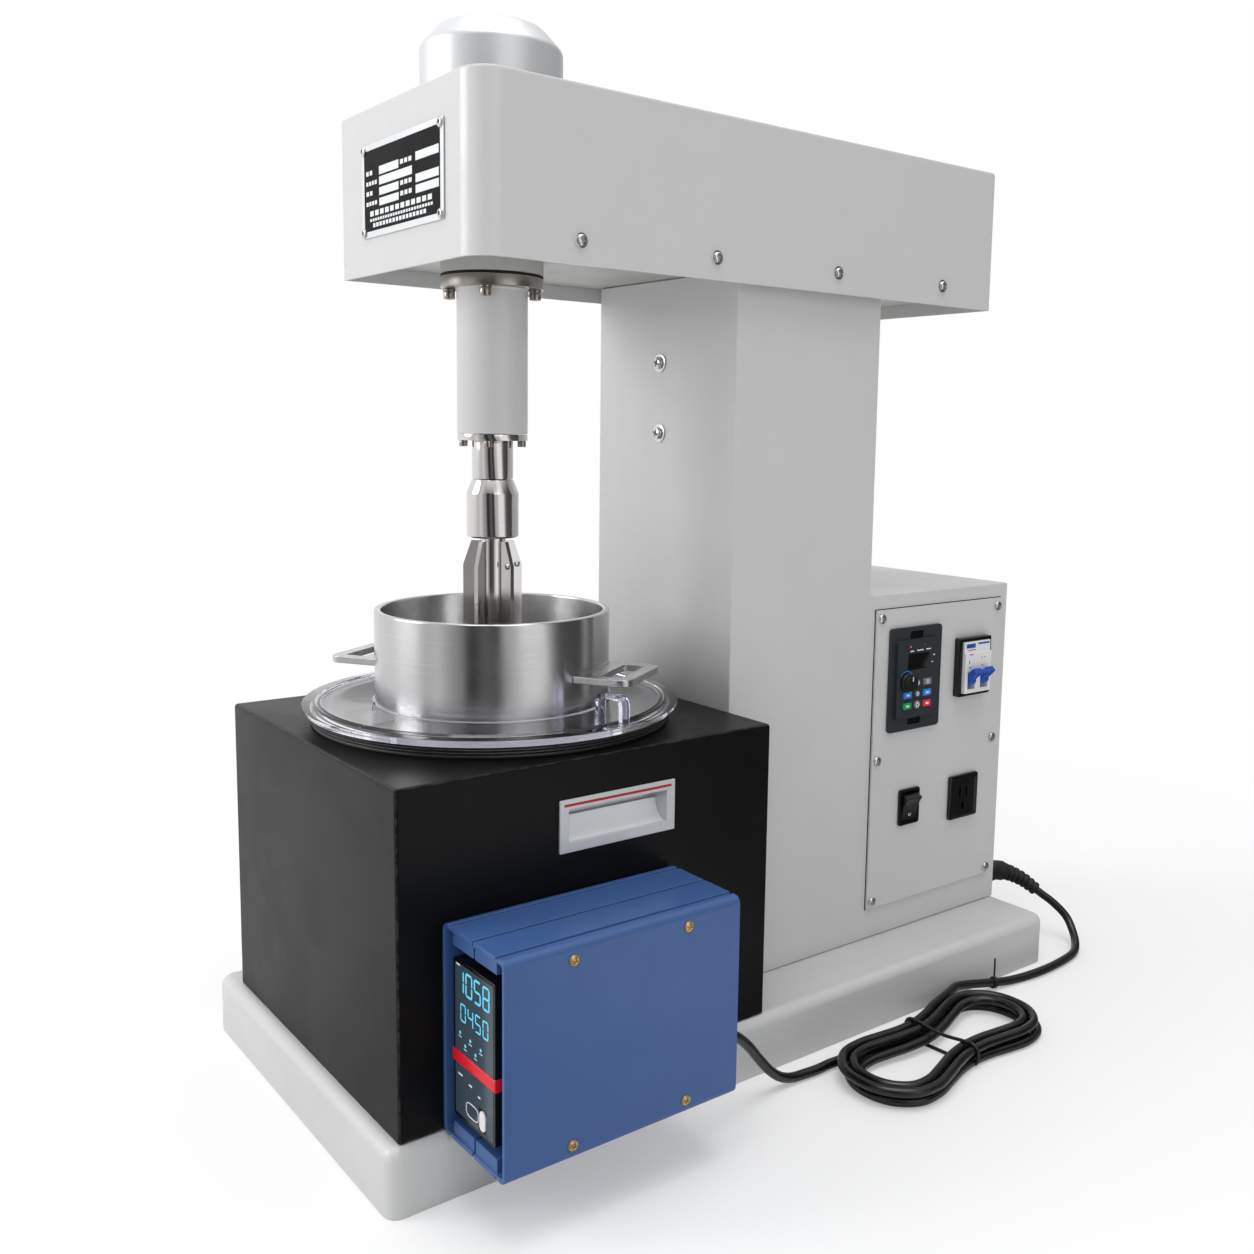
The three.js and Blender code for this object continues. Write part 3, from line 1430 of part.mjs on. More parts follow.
// Control panel: a plate on the cabinet's side with an opening for each device
function makeControlPanel() {
  const plate = panelBlock(panelWidth / 2, panelHeight / 2, panelWidth, panelHeight,
    seatGap, panelFace);
  const opening = (across, up, width, height) => panelBlock(across, up,
    width + 2 * seatGap, height + 2 * seatGap, -cutOverrun, panelFace + cutOverrun);
  const openings = [
    opening(driveAcross, driveUp, driveBodyWidth, driveBodyHeight),
    opening(breakerAcross, breakerUp, breakerBodyWidth, breakerBodyHeight),
    opening(rockerAcross, rockerUp, rockerFrameWidth - rockerBodyShrink,
      rockerFrameHeight - rockerBodyShrink),
    opening(socketAcross, socketUp, socketWidth - socketBodyShrink,
      socketHeight - socketBodyShrink),
  ];
  add("control_panel", carve(plate, [], openings), "enamel");
}

// A round section swept along a path
function cordTube(curve, steps, sides, radius) {
  const section = new THREE.Shape(circleOutline(radius, 0, 0, sides));
  return new THREE.ExtrudeGeometry(section, { steps, extrudePath: curve, bevelEnabled: false });
}

// A tapered relief with ribs: rings of changing radius carried along a path
function ribbedRelief(curve, rings, sides) {
  const frames = curve.computeFrenetFrames(rings, false);
  const places = [];
  for (let i = 0; i <= rings; i += 1) {
    const t = i / rings;
    const centre = curve.getPointAt(t);
    const ribbed = i > rings / 4 && i < rings ? (i % 2) * reliefRibDepth : 0;
    const taper = Math.max(0, (t - 0.25) / 0.75);
    const radius = reliefRadius + (reliefTipRadius - reliefRadius) * taper - ribbed;
    for (let k = 0; k < sides; k += 1) {
      const angle = (2 * Math.PI * k) / sides;
      const point = centre.clone()
        .addScaledVector(frames.normals[i], radius * Math.cos(angle))
        .addScaledVector(frames.binormals[i], radius * Math.sin(angle));
      places.push(point.x, point.y, point.z);
    }
  }
  const index = [];
  for (let i = 0; i < rings; i += 1) {
    for (let k = 0; k < sides; k += 1) {
      const a = i * sides + k;
      const b = i * sides + ((k + 1) % sides);
      index.push(a, b, b + sides, a, b + sides, a + sides);
    }
  }
  const last = rings * sides;
  for (let k = 1; k + 1 < sides; k += 1) {
    index.push(0, k + 1, k, last, last + k, last + k + 1);
  }
  const geometry = new THREE.BufferGeometry();
  geometry.setAttribute("position", new THREE.Float32BufferAttribute(places, 3));
  geometry.setIndex(index);
  return geometry;
}

// Points of the hank: loops drawn in at the waist that spiral in on the lower layer, climb while
// the spiral reverses, and spiral out on the upper layer. Both ends lie at the widest places
function hankPoints() {
  const turn = THREE.MathUtils.degToRad(hankTurnDegrees);
  const widest = Math.asin(Math.sqrt(1 / (3 * hankWaistShare)));
  const turns = hankLoops + (Math.PI - 2 * widest) / (2 * Math.PI);
  const steps = Math.round(turns * hankSteps);
  const centreX = baseRight + hankSideOffset;
  const core = (angle) => new THREE.Vector2(
    hankHalfLength * Math.cos(angle),
    hankHalfSpread * Math.sin(angle) * (1 - hankWaistShare * Math.sin(angle) ** 2),
  );
  const small = Math.PI / 1800;
  return Array.from({ length: steps + 1 }, (_, i) => {
    const loops = turns * (i / steps);
    const angle = -(widest + 2 * Math.PI * loops);
    const along = core(angle + small).sub(core(angle - small)).normalize();
    const outwards = new THREE.Vector2(along.y, -along.x);
    const spot = core(angle).addScaledVector(outwards, hankPitch * Math.abs(loops - turns / 2));
    const climb = THREE.MathUtils.clamp((loops - turns / 2 + 0.25) / 0.5, 0, 1);
    return new THREE.Vector3(
      centreX + spot.x * Math.cos(turn) - spot.y * Math.sin(turn),
      hankRearOffset + spot.x * Math.sin(turn) + spot.y * Math.cos(turn),
      cordDiameter / 2 + cordLift + hankPitch * climb,
    );
  });
}

// The least distance between stretches of the hank that aren't neighbours, less the cord
function leastGap(points) {
  let least = Infinity;
  for (let i = 0; i < points.length; i += 1) {
    for (let k = i + hankSteps / 3; k < points.length; k += 1) {
      least = Math.min(least, points[i].distanceTo(points[Math.floor(k)]));
    }
  }
  return least - cordDiameter;
}

// Cord: the case stretch, the hank beside the base, and the supply stretch to the cabinet
function makeCord() {
  const radius = cordDiameter / 2;
  const hank = hankPoints();
  console.log(`least gap of the hank to itself: ${leastGap(hank).toFixed(2)} mm`);
  const last = hank.length - 1;
  const startWay = hank[0].clone().sub(hank[1]).setZ(0).normalize();
  const endWay = hank[last].clone().sub(hank[last - 1]).setZ(0).normalize();
  const start = hank[0].clone().addScaledVector(startWay, cordDiameter);
  const end = hank[last].clone().addScaledVector(endWay, cordDiameter);
  const hankCurve = new THREE.CatmullRomCurve3([start, ...hank, end]);
  add("cord_hank", cordTube(hankCurve, last + 2, hankSides, radius), "rubber");

  const gland = new THREE.Vector3(
    bathHalfWidth + seatGap + caseWidth / 2,
    -caseRear + caseGlandLength + seatGap,
    floorOfHousing + caseGlandUp,
  );
  const towardsHank = (from, way) => [2, 1, 0].map((lengths) => from.clone()
    .addScaledVector(way, lengths * cordDiameter + seatGap));
  const caseCurve = new THREE.CatmullRomCurve3([
    ...caseCordFall.map((point) => gland.clone().add(new THREE.Vector3(...point))),
    ...caseCordFloor.map(([x, y]) => new THREE.Vector3(gland.x + x, gland.y + y,
      radius + cordLift)),
    ...towardsHank(start, startWay),
  ]);
  add("cord_case", cordTube(caseCurve, 24, cordSides, radius), "rubber");

  const outlet = new THREE.Vector3(
    glandAcross - cordDiameter, cabinetRear + seatGap, baseHeight + glandUp,
  );
  add("cord_gland", rod(glandRadius, 0, glandLength, 6).rotateX(-Math.PI / 2), "blackPlastic",
    outlet.toArray());
  const reliefCurve = new THREE.CatmullRomCurve3(reliefRoute.map((point) => outlet.clone()
    .add(new THREE.Vector3(...point))
    .add(new THREE.Vector3(0, glandLength + seatGap, 0))));
  add("strain_relief", ribbedRelief(reliefCurve, 4 * reliefRibCount, 10), "rubber");
  const tip = reliefCurve.getPointAt(1);
  const tipWay = reliefCurve.getTangentAt(1);
  const supplyCurve = new THREE.CatmullRomCurve3([
    ...[0, 1, 2.4].map((lengths) => tip.clone()
      .addScaledVector(tipWay, lengths * cordDiameter + seatGap)),
    ...supplyCordFall.map(([x, y, z]) => new THREE.Vector3(baseRight + x, baseRear + y, z)),
    ...supplyCordFloor.map(([x, y]) => new THREE.Vector3(baseRight + x, baseRear + y,
      radius + cordLift)),
    ...towardsHank(end, endWay),
  ]);
  add("cord_supply", cordTube(supplyCurve, 30, cordSides, radius), "rubber");
}

makeBase();
makeColumnHousing();
makeArmBed();
makeArmCover();
makeSpindleCap();
makeNameplate();
makeSpindleHousing();
makeSpindle();
makeCoupling();
makeStirrer();
makeBeltDrive();
makeMotor();
makeBathHousing();
makeBath();
makePot();
makeCovers();
makePull();
makeCase();
makeControlPanel();
makeSpeedDrive();
makeBreaker();
makeRocker();
makeOutlet();
makeCord();

// The origin lies on the floor in the middle of the machine without its cord
const caseOuter = bathHalfWidth + seatGap + caseWidth;
model.position.set((baseLeft - caseOuter) / 2, (baseFront - baseRear) / 2, 0);
const group = new THREE.Group();
group.add(model);

export default group;
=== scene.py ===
"""Laboratory leaching agitator: the looks of the machine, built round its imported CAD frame.

Metres, +Z up, in the frame's own axes: the stirrer and the bath face -Y, the speed panel and the
temperature controller case face +X. Small sizes are written in millimetres and multiplied by MM.
Every new piece is a surface worked out on a grid of two parameters, or a profile carried along a
path, as whole arrays.
"""

import math
from collections import namedtuple

import bmesh
import bpy
import numpy as np
from mathutils import Matrix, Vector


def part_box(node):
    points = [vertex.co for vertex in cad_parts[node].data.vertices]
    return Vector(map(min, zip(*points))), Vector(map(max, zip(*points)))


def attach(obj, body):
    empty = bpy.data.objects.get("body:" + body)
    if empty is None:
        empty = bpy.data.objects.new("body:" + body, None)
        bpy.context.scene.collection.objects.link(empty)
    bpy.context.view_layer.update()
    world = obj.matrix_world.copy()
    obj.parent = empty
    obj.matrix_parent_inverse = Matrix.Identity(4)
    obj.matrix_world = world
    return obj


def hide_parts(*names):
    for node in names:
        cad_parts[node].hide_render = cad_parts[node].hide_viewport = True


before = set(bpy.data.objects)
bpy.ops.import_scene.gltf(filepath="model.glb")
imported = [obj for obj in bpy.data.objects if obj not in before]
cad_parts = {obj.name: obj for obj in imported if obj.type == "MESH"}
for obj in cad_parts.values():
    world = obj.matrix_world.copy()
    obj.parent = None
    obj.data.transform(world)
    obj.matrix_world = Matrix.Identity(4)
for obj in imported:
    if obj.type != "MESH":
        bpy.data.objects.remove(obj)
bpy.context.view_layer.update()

MM = 0.001
X, Y, Z = np.eye(3)


def corners(node):
    """The lowest and the highest corner of a CAD node, as two arrays."""
    low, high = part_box(node)
    return np.array(low), np.array(high)


# Places that everything is set from
AXIS = sum(corners("spindle_shaft")) / 2
column_low = corners("column_housing")[0]
base_high = corners("base")[1]
panel_front = corners("control_panel")[1][0]
bath_low, bath_high = corners("bath_housing")


def linked(name, data):
    """An object in the scene that holds some data."""
    made = bpy.data.objects.new(name, data)
    bpy.context.scene.collection.objects.link(made)
    return made


def unit(vector):
    """A direction of length one."""
    return vector / np.linalg.norm(vector)


def placed(made, right, up, back, place):
    """Turns an object to three axes and sets it at a place."""
    matrix = np.eye(4)
    matrix[:3] = np.column_stack([right, up, back, place])
    made.matrix_world = Matrix(matrix.tolist())


# Camera, fitted to the photograph and placed from the spindle's axis and the column's front
CAMERA_FROM_AXIS = 760.9 * MM
CAMERA_FROM_COLUMN = -580.7 * MM
CAMERA_HEIGHT = 458.2 * MM
CAMERA_AZIMUTH = math.radians(52.11)
CAMERA_ELEVATION = math.radians(7.24)
CAMERA_ROLL = math.radians(0.92)
CAMERA_LENS = 35.66
CAMERA_SENSOR = 36.0
CAMERA_SHIFT = (-0.0358, -0.0308)
CAMERA_NEAREST = 10 * MM


def make_camera():
    """The camera looks along azimuth and elevation: back = (sin a cos e, -cos a cos e, sin e)."""
    a, e, roll = CAMERA_AZIMUTH, CAMERA_ELEVATION, CAMERA_ROLL
    back = np.array([math.sin(a) * math.cos(e), -math.cos(a) * math.cos(e), math.sin(e)])
    right = unit(np.cross(-back, Z))
    up = np.cross(right, -back)
    data = bpy.data.cameras.new("camera")
    data.lens = CAMERA_LENS
    data.sensor_width = CAMERA_SENSOR
    data.shift_x, data.shift_y = CAMERA_SHIFT
    data.clip_start = CAMERA_NEAREST
    camera = linked("camera", data)
    place = (AXIS[0] + CAMERA_FROM_AXIS, column_low[1] + CAMERA_FROM_COLUMN, CAMERA_HEIGHT)
    placed(camera, right * math.cos(roll) + up * math.sin(roll),
           up * math.cos(roll) - right * math.sin(roll), back, place)
    bpy.context.scene.camera = camera


make_camera()

# Surfaces
MERGE = 0.002 * MM
LEAST_EDGE = 0.001 * MM
LEAST_CORNER = 0.02 * MM
GREATEST_CUT_SHARE = 0.48
CURVE_STEPS = 24
Face = namedtuple("Face", "origin across up")


def on(face, a, b, c):
    """Points at a across, b up and c out of a face: origin + a across + b up + c (across x up)."""
    out = np.cross(face.across, face.up)
    a, b, c = np.broadcast_arrays(a, b, c)
    return (face.origin + a[..., None] * face.across + b[..., None] * face.up
            + c[..., None] * out)


def moved(face, a, b, c):
    """A face moved a across, b up and c out."""
    return face._replace(origin=on(face, a, b, c))


def face_at(x, y, z, across=Y, up=Z):
    """A face with its origin at a place."""
    return Face(np.array([x, y, z], float), across, up)


def side_of(node, across=Y):
    """A node's right side (across = Y) or front (across = X), from its lower left corner as seen
    from outside, with its width and height."""
    low, high = corners(node)
    outwards = np.cross(across, Z)
    face = Face(np.where(outwards > 0, high, low), across, Z)
    return face, (high - low) @ across, high[2] - low[2]


def grid_faces(rows, columns, copies=1, round_rows=False, ends=()):
    """The faces of grids whose columns close on themselves, with flat ends where asked for."""
    r = np.arange(rows if round_rows else rows - 1)[:, None]
    c = np.arange(columns)[None, :]
    r2 = (r + 1) % rows
    c2 = (c + 1) % columns
    quads = np.stack([r * columns + c, r * columns + c2, r2 * columns + c2, r2 * columns + c], -1)
    size = rows * columns
    shift = np.arange(copies)[:, None, None] * size
    faces = (quads.reshape(1, -1, 4) + shift).reshape(-1, 4).tolist()
    for start in range(0, copies * size, size):
        if "first" in ends:
            faces.append(list(range(start, start + columns))[::-1])
        if "last" in ends:
            faces.append(list(range(start + size - columns, start + size)))
    return faces


def piece(name, points, faces, finish, body="frame", sharp=32.0, slot=None, replaces=()):
    """A closed mesh with its doubles merged, its faces outwards, riding on a body, in the place
    of the CAD nodes that it replaces."""
    mesh = bpy.data.meshes.new(name)
    mesh.from_pydata(points.reshape(-1, 3).tolist(), [], faces)
    work = bmesh.new()
    work.from_mesh(mesh)
    bmesh.ops.remove_doubles(work, verts=work.verts, dist=MERGE)
    bmesh.ops.dissolve_degenerate(work, edges=work.edges, dist=LEAST_EDGE)
    bmesh.ops.recalc_face_normals(work, faces=work.faces)
    work.to_mesh(mesh)
    work.free()
    mesh.polygons.foreach_set("use_smooth", np.ones(len(mesh.polygons), bool))
    mesh.set_sharp_from_angle(angle=math.radians(sharp))
    mesh.materials.append(finish)
    made = linked(name, mesh)
    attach(made, body)
    if replaces:
        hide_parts(*replaces)
    return made


def softened(profile, radius, steps=4):
    """A profile whose inner corners become curves: each is p(t) = (1-t)^2 a + 2t(1-t) c + t^2 b,
    from a to b at the radius, or half a side, either way from the corner c."""
    points = np.asarray(profile, float)
    corner = points[1:-1]
    before, after = points[:-2] - corner, points[2:] - corner
    a, b = [corner + way * np.minimum(GREATEST_CUT_SHARE,
                                      radius / np.linalg.norm(way, axis=1, keepdims=True))
            for way in (before, after)]
    t = np.linspace(0, 1, steps)[None, :, None]
    curve = (1 - t) ** 2 * a[:, None] + 2 * t * (1 - t) * corner[:, None] + t ** 2 * b[:, None]
    return np.concatenate([points[:1], curve.reshape(-1, 2), points[-1:]])


def revolved(name, face, places, profile, finish, segments=24, **riding):
    """A profile of (radius, height) pairs turned about the outward axis of a face at each place:
    across = a + r cos t, up = b + r sin t, out = h. The profile starts and ends on the axis, or
    closes on itself."""
    profile = np.asarray(profile, float)
    closed = np.allclose(profile[0], profile[-1])
    if closed:
        profile = profile[:-1]
    places = np.asarray(places, float).reshape(-1, 2)
    t = np.linspace(0, 2 * np.pi, segments, endpoint=False)
    r = profile[None, :, 0, None]
    points = on(face, places[:, 0, None, None] + r * np.cos(t),
                places[:, 1, None, None] + r * np.sin(t), profile[None, :, 1, None])
    faces = grid_faces(len(profile), segments, len(places), round_rows=closed)
    return piece(name, points, faces, finish, **riding)


def upright(name, profile, finish, segments=96, **riding):
    """A profile of (radius, height above the floor) pairs turned about the spindle's axis."""
    face = face_at(AXIS[0], AXIS[1], 0, X, Y)
    return revolved(name, face, (0, 0), profile, finish, segments, **riding)


def hoop(inner, outer, low, high):
    """The closed profile of a flat ring."""
    return [(inner, low), (outer, low), (outer, high), (inner, high), (inner, low)]


def circle(radius, sides=16):
    """A circle of (u, v) pairs."""
    t = np.linspace(0, 2 * np.pi, sides, endpoint=False)
    return radius * np.stack([np.cos(t), np.sin(t)], 1)


def round_outline(width, height, radius, steps=6):
    """A rectangle with round corners about its middle, anticlockwise: each corner's middle plus
    radius (cos t, sin t) over its own quarter turn."""
    quarter = np.linspace(0, np.pi / 2, steps)
    turn = np.arange(4)[:, None] * np.pi / 2 + quarter
    sign_a = np.array([1, -1, -1, 1])[:, None]
    sign_b = np.array([1, 1, -1, -1])[:, None]
    a = sign_a * (width / 2 - radius) + radius * np.cos(turn)
    b = sign_b * (height / 2 - radius) + radius * np.sin(turn)
    return np.stack([a, b], -1).reshape(-1, 2)


def rectangle(left, right, foot, top):
    """The four corners of a rectangle."""
    return [(left, foot), (right, foot), (right, top), (left, top)]


def bar(a, b, width, height):
    """The four corners of a rectangle about its middle, given in millimetres."""
    return rectangle(*np.array([a - width / 2, a + width / 2, b - height / 2, b + height / 2]) * MM)


def rim_outlines(outer, inner):
    """Four rectangles that fill the space between two, each as left, right, foot and top."""
    left, right, foot, top = outer
    hole_left, hole_right, hole_foot, hole_top = inner
    return [rectangle(left, hole_left, foot, top), rectangle(hole_right, right, foot, top),
            rectangle(hole_left, hole_right, foot, hole_foot),
            rectangle(hole_left, hole_right, hole_top, top)]


def edge_levels(low, high, edge, steps=2):
    """(inset, height) levels of a slab with a quarter round edge: inset = e (1 - cos t),
    height = high - e + e sin t."""
    t = np.linspace(0, np.pi / 2, steps)
    top = np.stack([edge * (1 - np.cos(t)), high - edge + edge * np.sin(t)], 1)
    return np.concatenate([[[0, low]], top])


def slab(name, face, middle, size, levels, radius, finish, **riding):
    """A rounded rectangle carried through (inset, height) levels, closed by flat ends."""
    rings = []
    for inset, height in levels:
        outline = round_outline(size[0] - 2 * inset, size[1] - 2 * inset,
                                max(radius - inset, LEAST_CORNER))
        rings.append(on(face, middle[0] + outline[:, 0], middle[1] + outline[:, 1], height))
    points = np.array(rings)
    faces = grid_faces(*points.shape[:2], ends=("first", "last"))
    return piece(name, points, faces, finish, **{"sharp": 40.0, **riding})


def prisms(name, face, outlines, low, high, finish, **riding):
    """Flat outlines of equal count raised from low to high, all in one mesh."""
    outlines = np.asarray(outlines, float)
    copies, count = outlines.shape[:2]
    points = on(face, outlines[:, None, :, 0], outlines[:, None, :, 1],
                np.array([low, high])[None, :, None])
    faces = grid_faces(2, count, copies, ends=("first", "last"))
    return piece(name, points, faces, finish, **riding)


def swept(name, path, section, reference, finish, closed=False, **riding):
    """A section carried along a path: point = p + u side + v rise, where side = reference x
    tangent and rise = tangent x side. The section is (u, v) pairs, or one such set per point."""
    path = np.asarray(path, float)
    if closed:
        tangent = np.roll(path, -1, 0) - np.roll(path, 1, 0)
    else:
        tangent = np.gradient(path, axis=0)
    tangent /= np.linalg.norm(tangent, axis=1, keepdims=True)
    side = np.cross(reference, tangent)
    side /= np.linalg.norm(side, axis=1, keepdims=True)
    rise = np.cross(tangent, side)
    section = np.asarray(section, float)
    if section.ndim == 2:
        section = section[None]
    points = (path[:, None] + section[..., :1] * side[:, None] + section[..., 1:] * rise[:, None])
    ends = () if closed else ("first", "last")
    faces = grid_faces(*points.shape[:2], round_rows=closed, ends=ends)
    return piece(name, points, faces, finish, **{"sharp": 40.0, **riding})


def smooth_path(points, spacing):
    """A centripetal Catmull-Rom curve through the points, taken at even spacing: each stretch
    blends the chords of its four neighbours by the square roots of their lengths."""
    points = np.asarray(points, float)
    padded = np.concatenate([[2 * points[0] - points[1]], points, [2 * points[-1] - points[-2]]])
    p0, p1, p2, p3 = padded[:-3], padded[1:-2], padded[2:-1], padded[3:]
    gap = [np.sqrt(np.linalg.norm(b - a, axis=1))[:, None, None]
           for a, b in ((p0, p1), (p1, p2), (p2, p3))]
    t1, t2 = gap[0], gap[0] + gap[1]
    t3 = t2 + gap[2]
    t = t1 + (t2 - t1) * np.linspace(0, 1, CURVE_STEPS, endpoint=False)[None, :, None]
    p0, p1, p2, p3 = p0[:, None], p1[:, None], p2[:, None], p3[:, None]
    a1 = (t1 - t) / t1 * p0 + t / t1 * p1
    a2 = (t2 - t) / (t2 - t1) * p1 + (t - t1) / (t2 - t1) * p2
    a3 = (t3 - t) / (t3 - t2) * p2 + (t - t2) / (t3 - t2) * p3
    b1 = (t2 - t) / t2 * a1 + t / t2 * a2
    b2 = (t3 - t) / (t3 - t1) * a2 + (t - t1) / (t3 - t1) * a3
    fine = ((t2 - t) / (t2 - t1) * b1 + (t - t1) / (t2 - t1) * b2).reshape(-1, 3)
    fine = np.concatenate([fine, points[-1:]])
    along = np.concatenate([[0], np.cumsum(np.linalg.norm(np.diff(fine, axis=0), axis=1))])
    even = np.linspace(0, along[-1], max(2, int(round(along[-1] / spacing)) + 1))
    return np.stack([np.interp(even, along, fine[:, k]) for k in range(3)], 1)


# Shader nodes


def colour(red, green, blue):
    """A display colour of 0 to 255 as a linear one."""
    c = np.array([red, green, blue]) / 255
    linear = np.where(c <= 0.04045, c / 12.92, ((c + 0.055) / 1.055) ** 2.4)
    return (*linear.tolist(), 1.0)


def shaded(base, share):
    """A colour taken darker or lighter by a share."""
    return (*[min(1.0, c * share) for c in base[:3]], 1.0)


def feed(socket, value):
    """A socket set to a value, or joined to another socket."""
    if isinstance(value, bpy.types.NodeSocket):
        socket.id_data.links.new(value, socket)
    else:
        socket.default_value = value


def add(tree, kind, inputs=None, **settings):
    """A node with its settings and inputs."""
    made = tree.nodes.new(kind)
    for key, value in settings.items():
        setattr(made, key, value)
    for key, value in (inputs or {}).items():
        feed(made.inputs[key], value)
    return made


def maths(tree, operation, *values, clamp=False):
    """A Math node's result."""
    inputs = dict(enumerate(values))
    return add(tree, "ShaderNodeMath", inputs, operation=operation, use_clamp=clamp).outputs[0]


def vectors(tree, operation, *values):
    """A Vector Math node's outputs."""
    return add(tree, "ShaderNodeVectorMath", dict(enumerate(values)), operation=operation).outputs


def apart(tree, vector):
    """The three numbers of a vector."""
    return add(tree, "ShaderNodeSeparateXYZ", {"Vector": vector}).outputs


def ramped(tree, value, low, high, to_low=0.0, to_high=1.0):
    """A value carried smoothly from one range to another."""
    return add(tree, "ShaderNodeMapRange", {
        "Value": value, "From Min": low, "From Max": high, "To Min": to_low, "To Max": to_high,
    }, interpolation_type="SMOOTHSTEP").outputs["Result"]


def mixed(tree, factor, first, second):
    """A colour between two."""
    return add(tree, "ShaderNodeMix", {"Factor": factor, 6: first, 7: second},
               data_type="RGBA").outputs[2]


def noise(tree, vector, scale, detail, roughness):
    """A noise of a vector."""
    return add(tree, "ShaderNodeTexNoise", {
        "Vector": vector, "Scale": scale, "Detail": detail, "Roughness": roughness,
    }).outputs["Fac"]


def grouped(tree, which, **inputs):
    """The outputs of a node group placed in a material."""
    named = {key.replace("_", " "): value for key, value in inputs.items()}
    return add(tree, "ShaderNodeGroup", named, node_tree=which).outputs


def group(name, inputs, *outputs):
    """An empty shader node group: its inputs are names with their values, None for a vector that
    is always joined, and its outputs are names of values."""
    tree = bpy.data.node_groups.new(name, "ShaderNodeTree")
    for label, value in inputs.items():
        kind = "NodeSocketFloat" if isinstance(value, float) else "NodeSocketVector"
        socket = tree.interface.new_socket(label, in_out="INPUT", socket_type=kind)
        if value is not None:
            socket.default_value = value
    for label in outputs:
        tree.interface.new_socket(label, in_out="OUTPUT", socket_type="NodeSocketFloat")
    source = tree.nodes.new("NodeGroupInput")
    sink = tree.nodes.new("NodeGroupOutput")
    return tree, source.outputs, sink.inputs


def make_grain_group():
    """Fine skin and broad smudges: two noises of the object's own coordinates."""
    tree, source, sink = group(
        "fine_skin", {"Vector": None, "Fineness": 600.0, "Smudge Scale": 14.0},
        "Height", "Smudge")
    skin = noise(tree, source["Vector"], source["Fineness"], detail=2.0, roughness=0.45)
    smudge = noise(tree, source["Vector"], source["Smudge Scale"], detail=5.0, roughness=0.62)
    feed(sink["Height"], skin)
    feed(sink["Smudge"], ramped(tree, smudge, low=0.36, high=0.66))
    return tree


def finish_marks(tree, source, sink, drawn, broad_scale):
    """Tool marks as noise of drawn out coordinates, and broad streaks as plain noise."""
    broad = noise(tree, source["Vector"], broad_scale, detail=4.0, roughness=0.6)
    feed(sink["Height"], noise(tree, drawn, 1.0, detail=3.0, roughness=0.6))
    feed(sink["Streak"], ramped(tree, broad, low=0.38, high=0.64))
    return tree


def make_lathe_group():
    """Turning marks: noise of (radius, height) at a fine scale, drawn out along the turn."""
    tree, source, sink = group(
        "turning_marks", {"Vector": None, "Fineness": 900.0, "Run": 1.5}, "Height", "Streak")
    x, y, z = apart(tree, source["Vector"])
    squares = [maths(tree, "MULTIPLY", side, side) for side in (x, y)]
    radius = maths(tree, "SQRT", maths(tree, "ADD", *squares))
    drawn = add(tree, "ShaderNodeCombineXYZ", {
        "X": maths(tree, "MULTIPLY", radius, source["Fineness"]),
        "Y": maths(tree, "MULTIPLY", z, source["Fineness"]),
        "Z": maths(tree, "MULTIPLY", maths(tree, "ARCTAN2", y, x), source["Run"])}).outputs[0]
    return finish_marks(tree, source, sink, drawn, broad_scale=22.0)


def make_draw_group():
    """A straight brushed grain: noise stretched by the three numbers of Stretch."""
    tree, source, sink = group(
        "drawn_grain", {"Vector": None, "Stretch": (1, 1, 1)}, "Height", "Streak")
    drawn = vectors(tree, "MULTIPLY", source["Vector"], source["Stretch"])[0]
    return finish_marks(tree, source, sink, drawn, broad_scale=30.0)


def make_wear_group():
    """Wear along a box's edges: 1 where two of the three distances to its walls are under Width,
    broken up by noise."""
    tree, source, sink = group(
        "edge_wear", {"Vector": None, "Low": (0, 0, 0), "High": (1, 1, 1), "Width": 0.001},
        "Mask")
    above = vectors(tree, "SUBTRACT", source["Vector"], source["Low"])[0]
    below = vectors(tree, "SUBTRACT", source["High"], source["Vector"])[0]
    nearest = vectors(tree, "MINIMUM", above, below)[0]
    near = [ramped(tree, wall, 0.0, source["Width"], 1.0, 0.0) for wall in apart(tree, nearest)]
    pairs = [maths(tree, "MULTIPLY", near[i], near[k]) for i, k in ((0, 1), (1, 2), (2, 0))]
    total = maths(tree, "ADD", maths(tree, "ADD", pairs[0], pairs[1]), pairs[2], clamp=True)
    chips = noise(tree, source["Vector"], 130.0, detail=4.0, roughness=0.7)
    feed(sink["Mask"], maths(tree, "MULTIPLY", total, ramped(tree, chips, low=0.4, high=0.62)))
    return tree


FINE_SKIN = make_grain_group()
TURNING_MARKS = make_lathe_group()
DRAWN_GRAIN = make_draw_group()
EDGE_WEAR = make_wear_group()


def material(name, base, roughness, metallic=0.0, **sockets):
    """A material with one Principled shader; returns it with its tree, shader and coordinates."""
    made = bpy.data.materials.new(name)
    made.use_nodes = True
    tree = made.node_tree
    shader = tree.nodes["Principled BSDF"]
    values = {"Base Color": base, "Roughness": roughness, "Metallic": metallic, **sockets}
    for key, value in values.items():
        feed(shader.inputs[key.replace("_", " ")], value)
    return made, tree, shader.inputs, add(tree, "ShaderNodeTexCoord").outputs["Object"]


def bumped(tree, shader, height, depth):
    """Height carried into the shader's normal, depth deep."""
    feed(shader["Normal"],
         add(tree, "ShaderNodeBump", {"Height": height, "Distance": depth}).outputs[0])


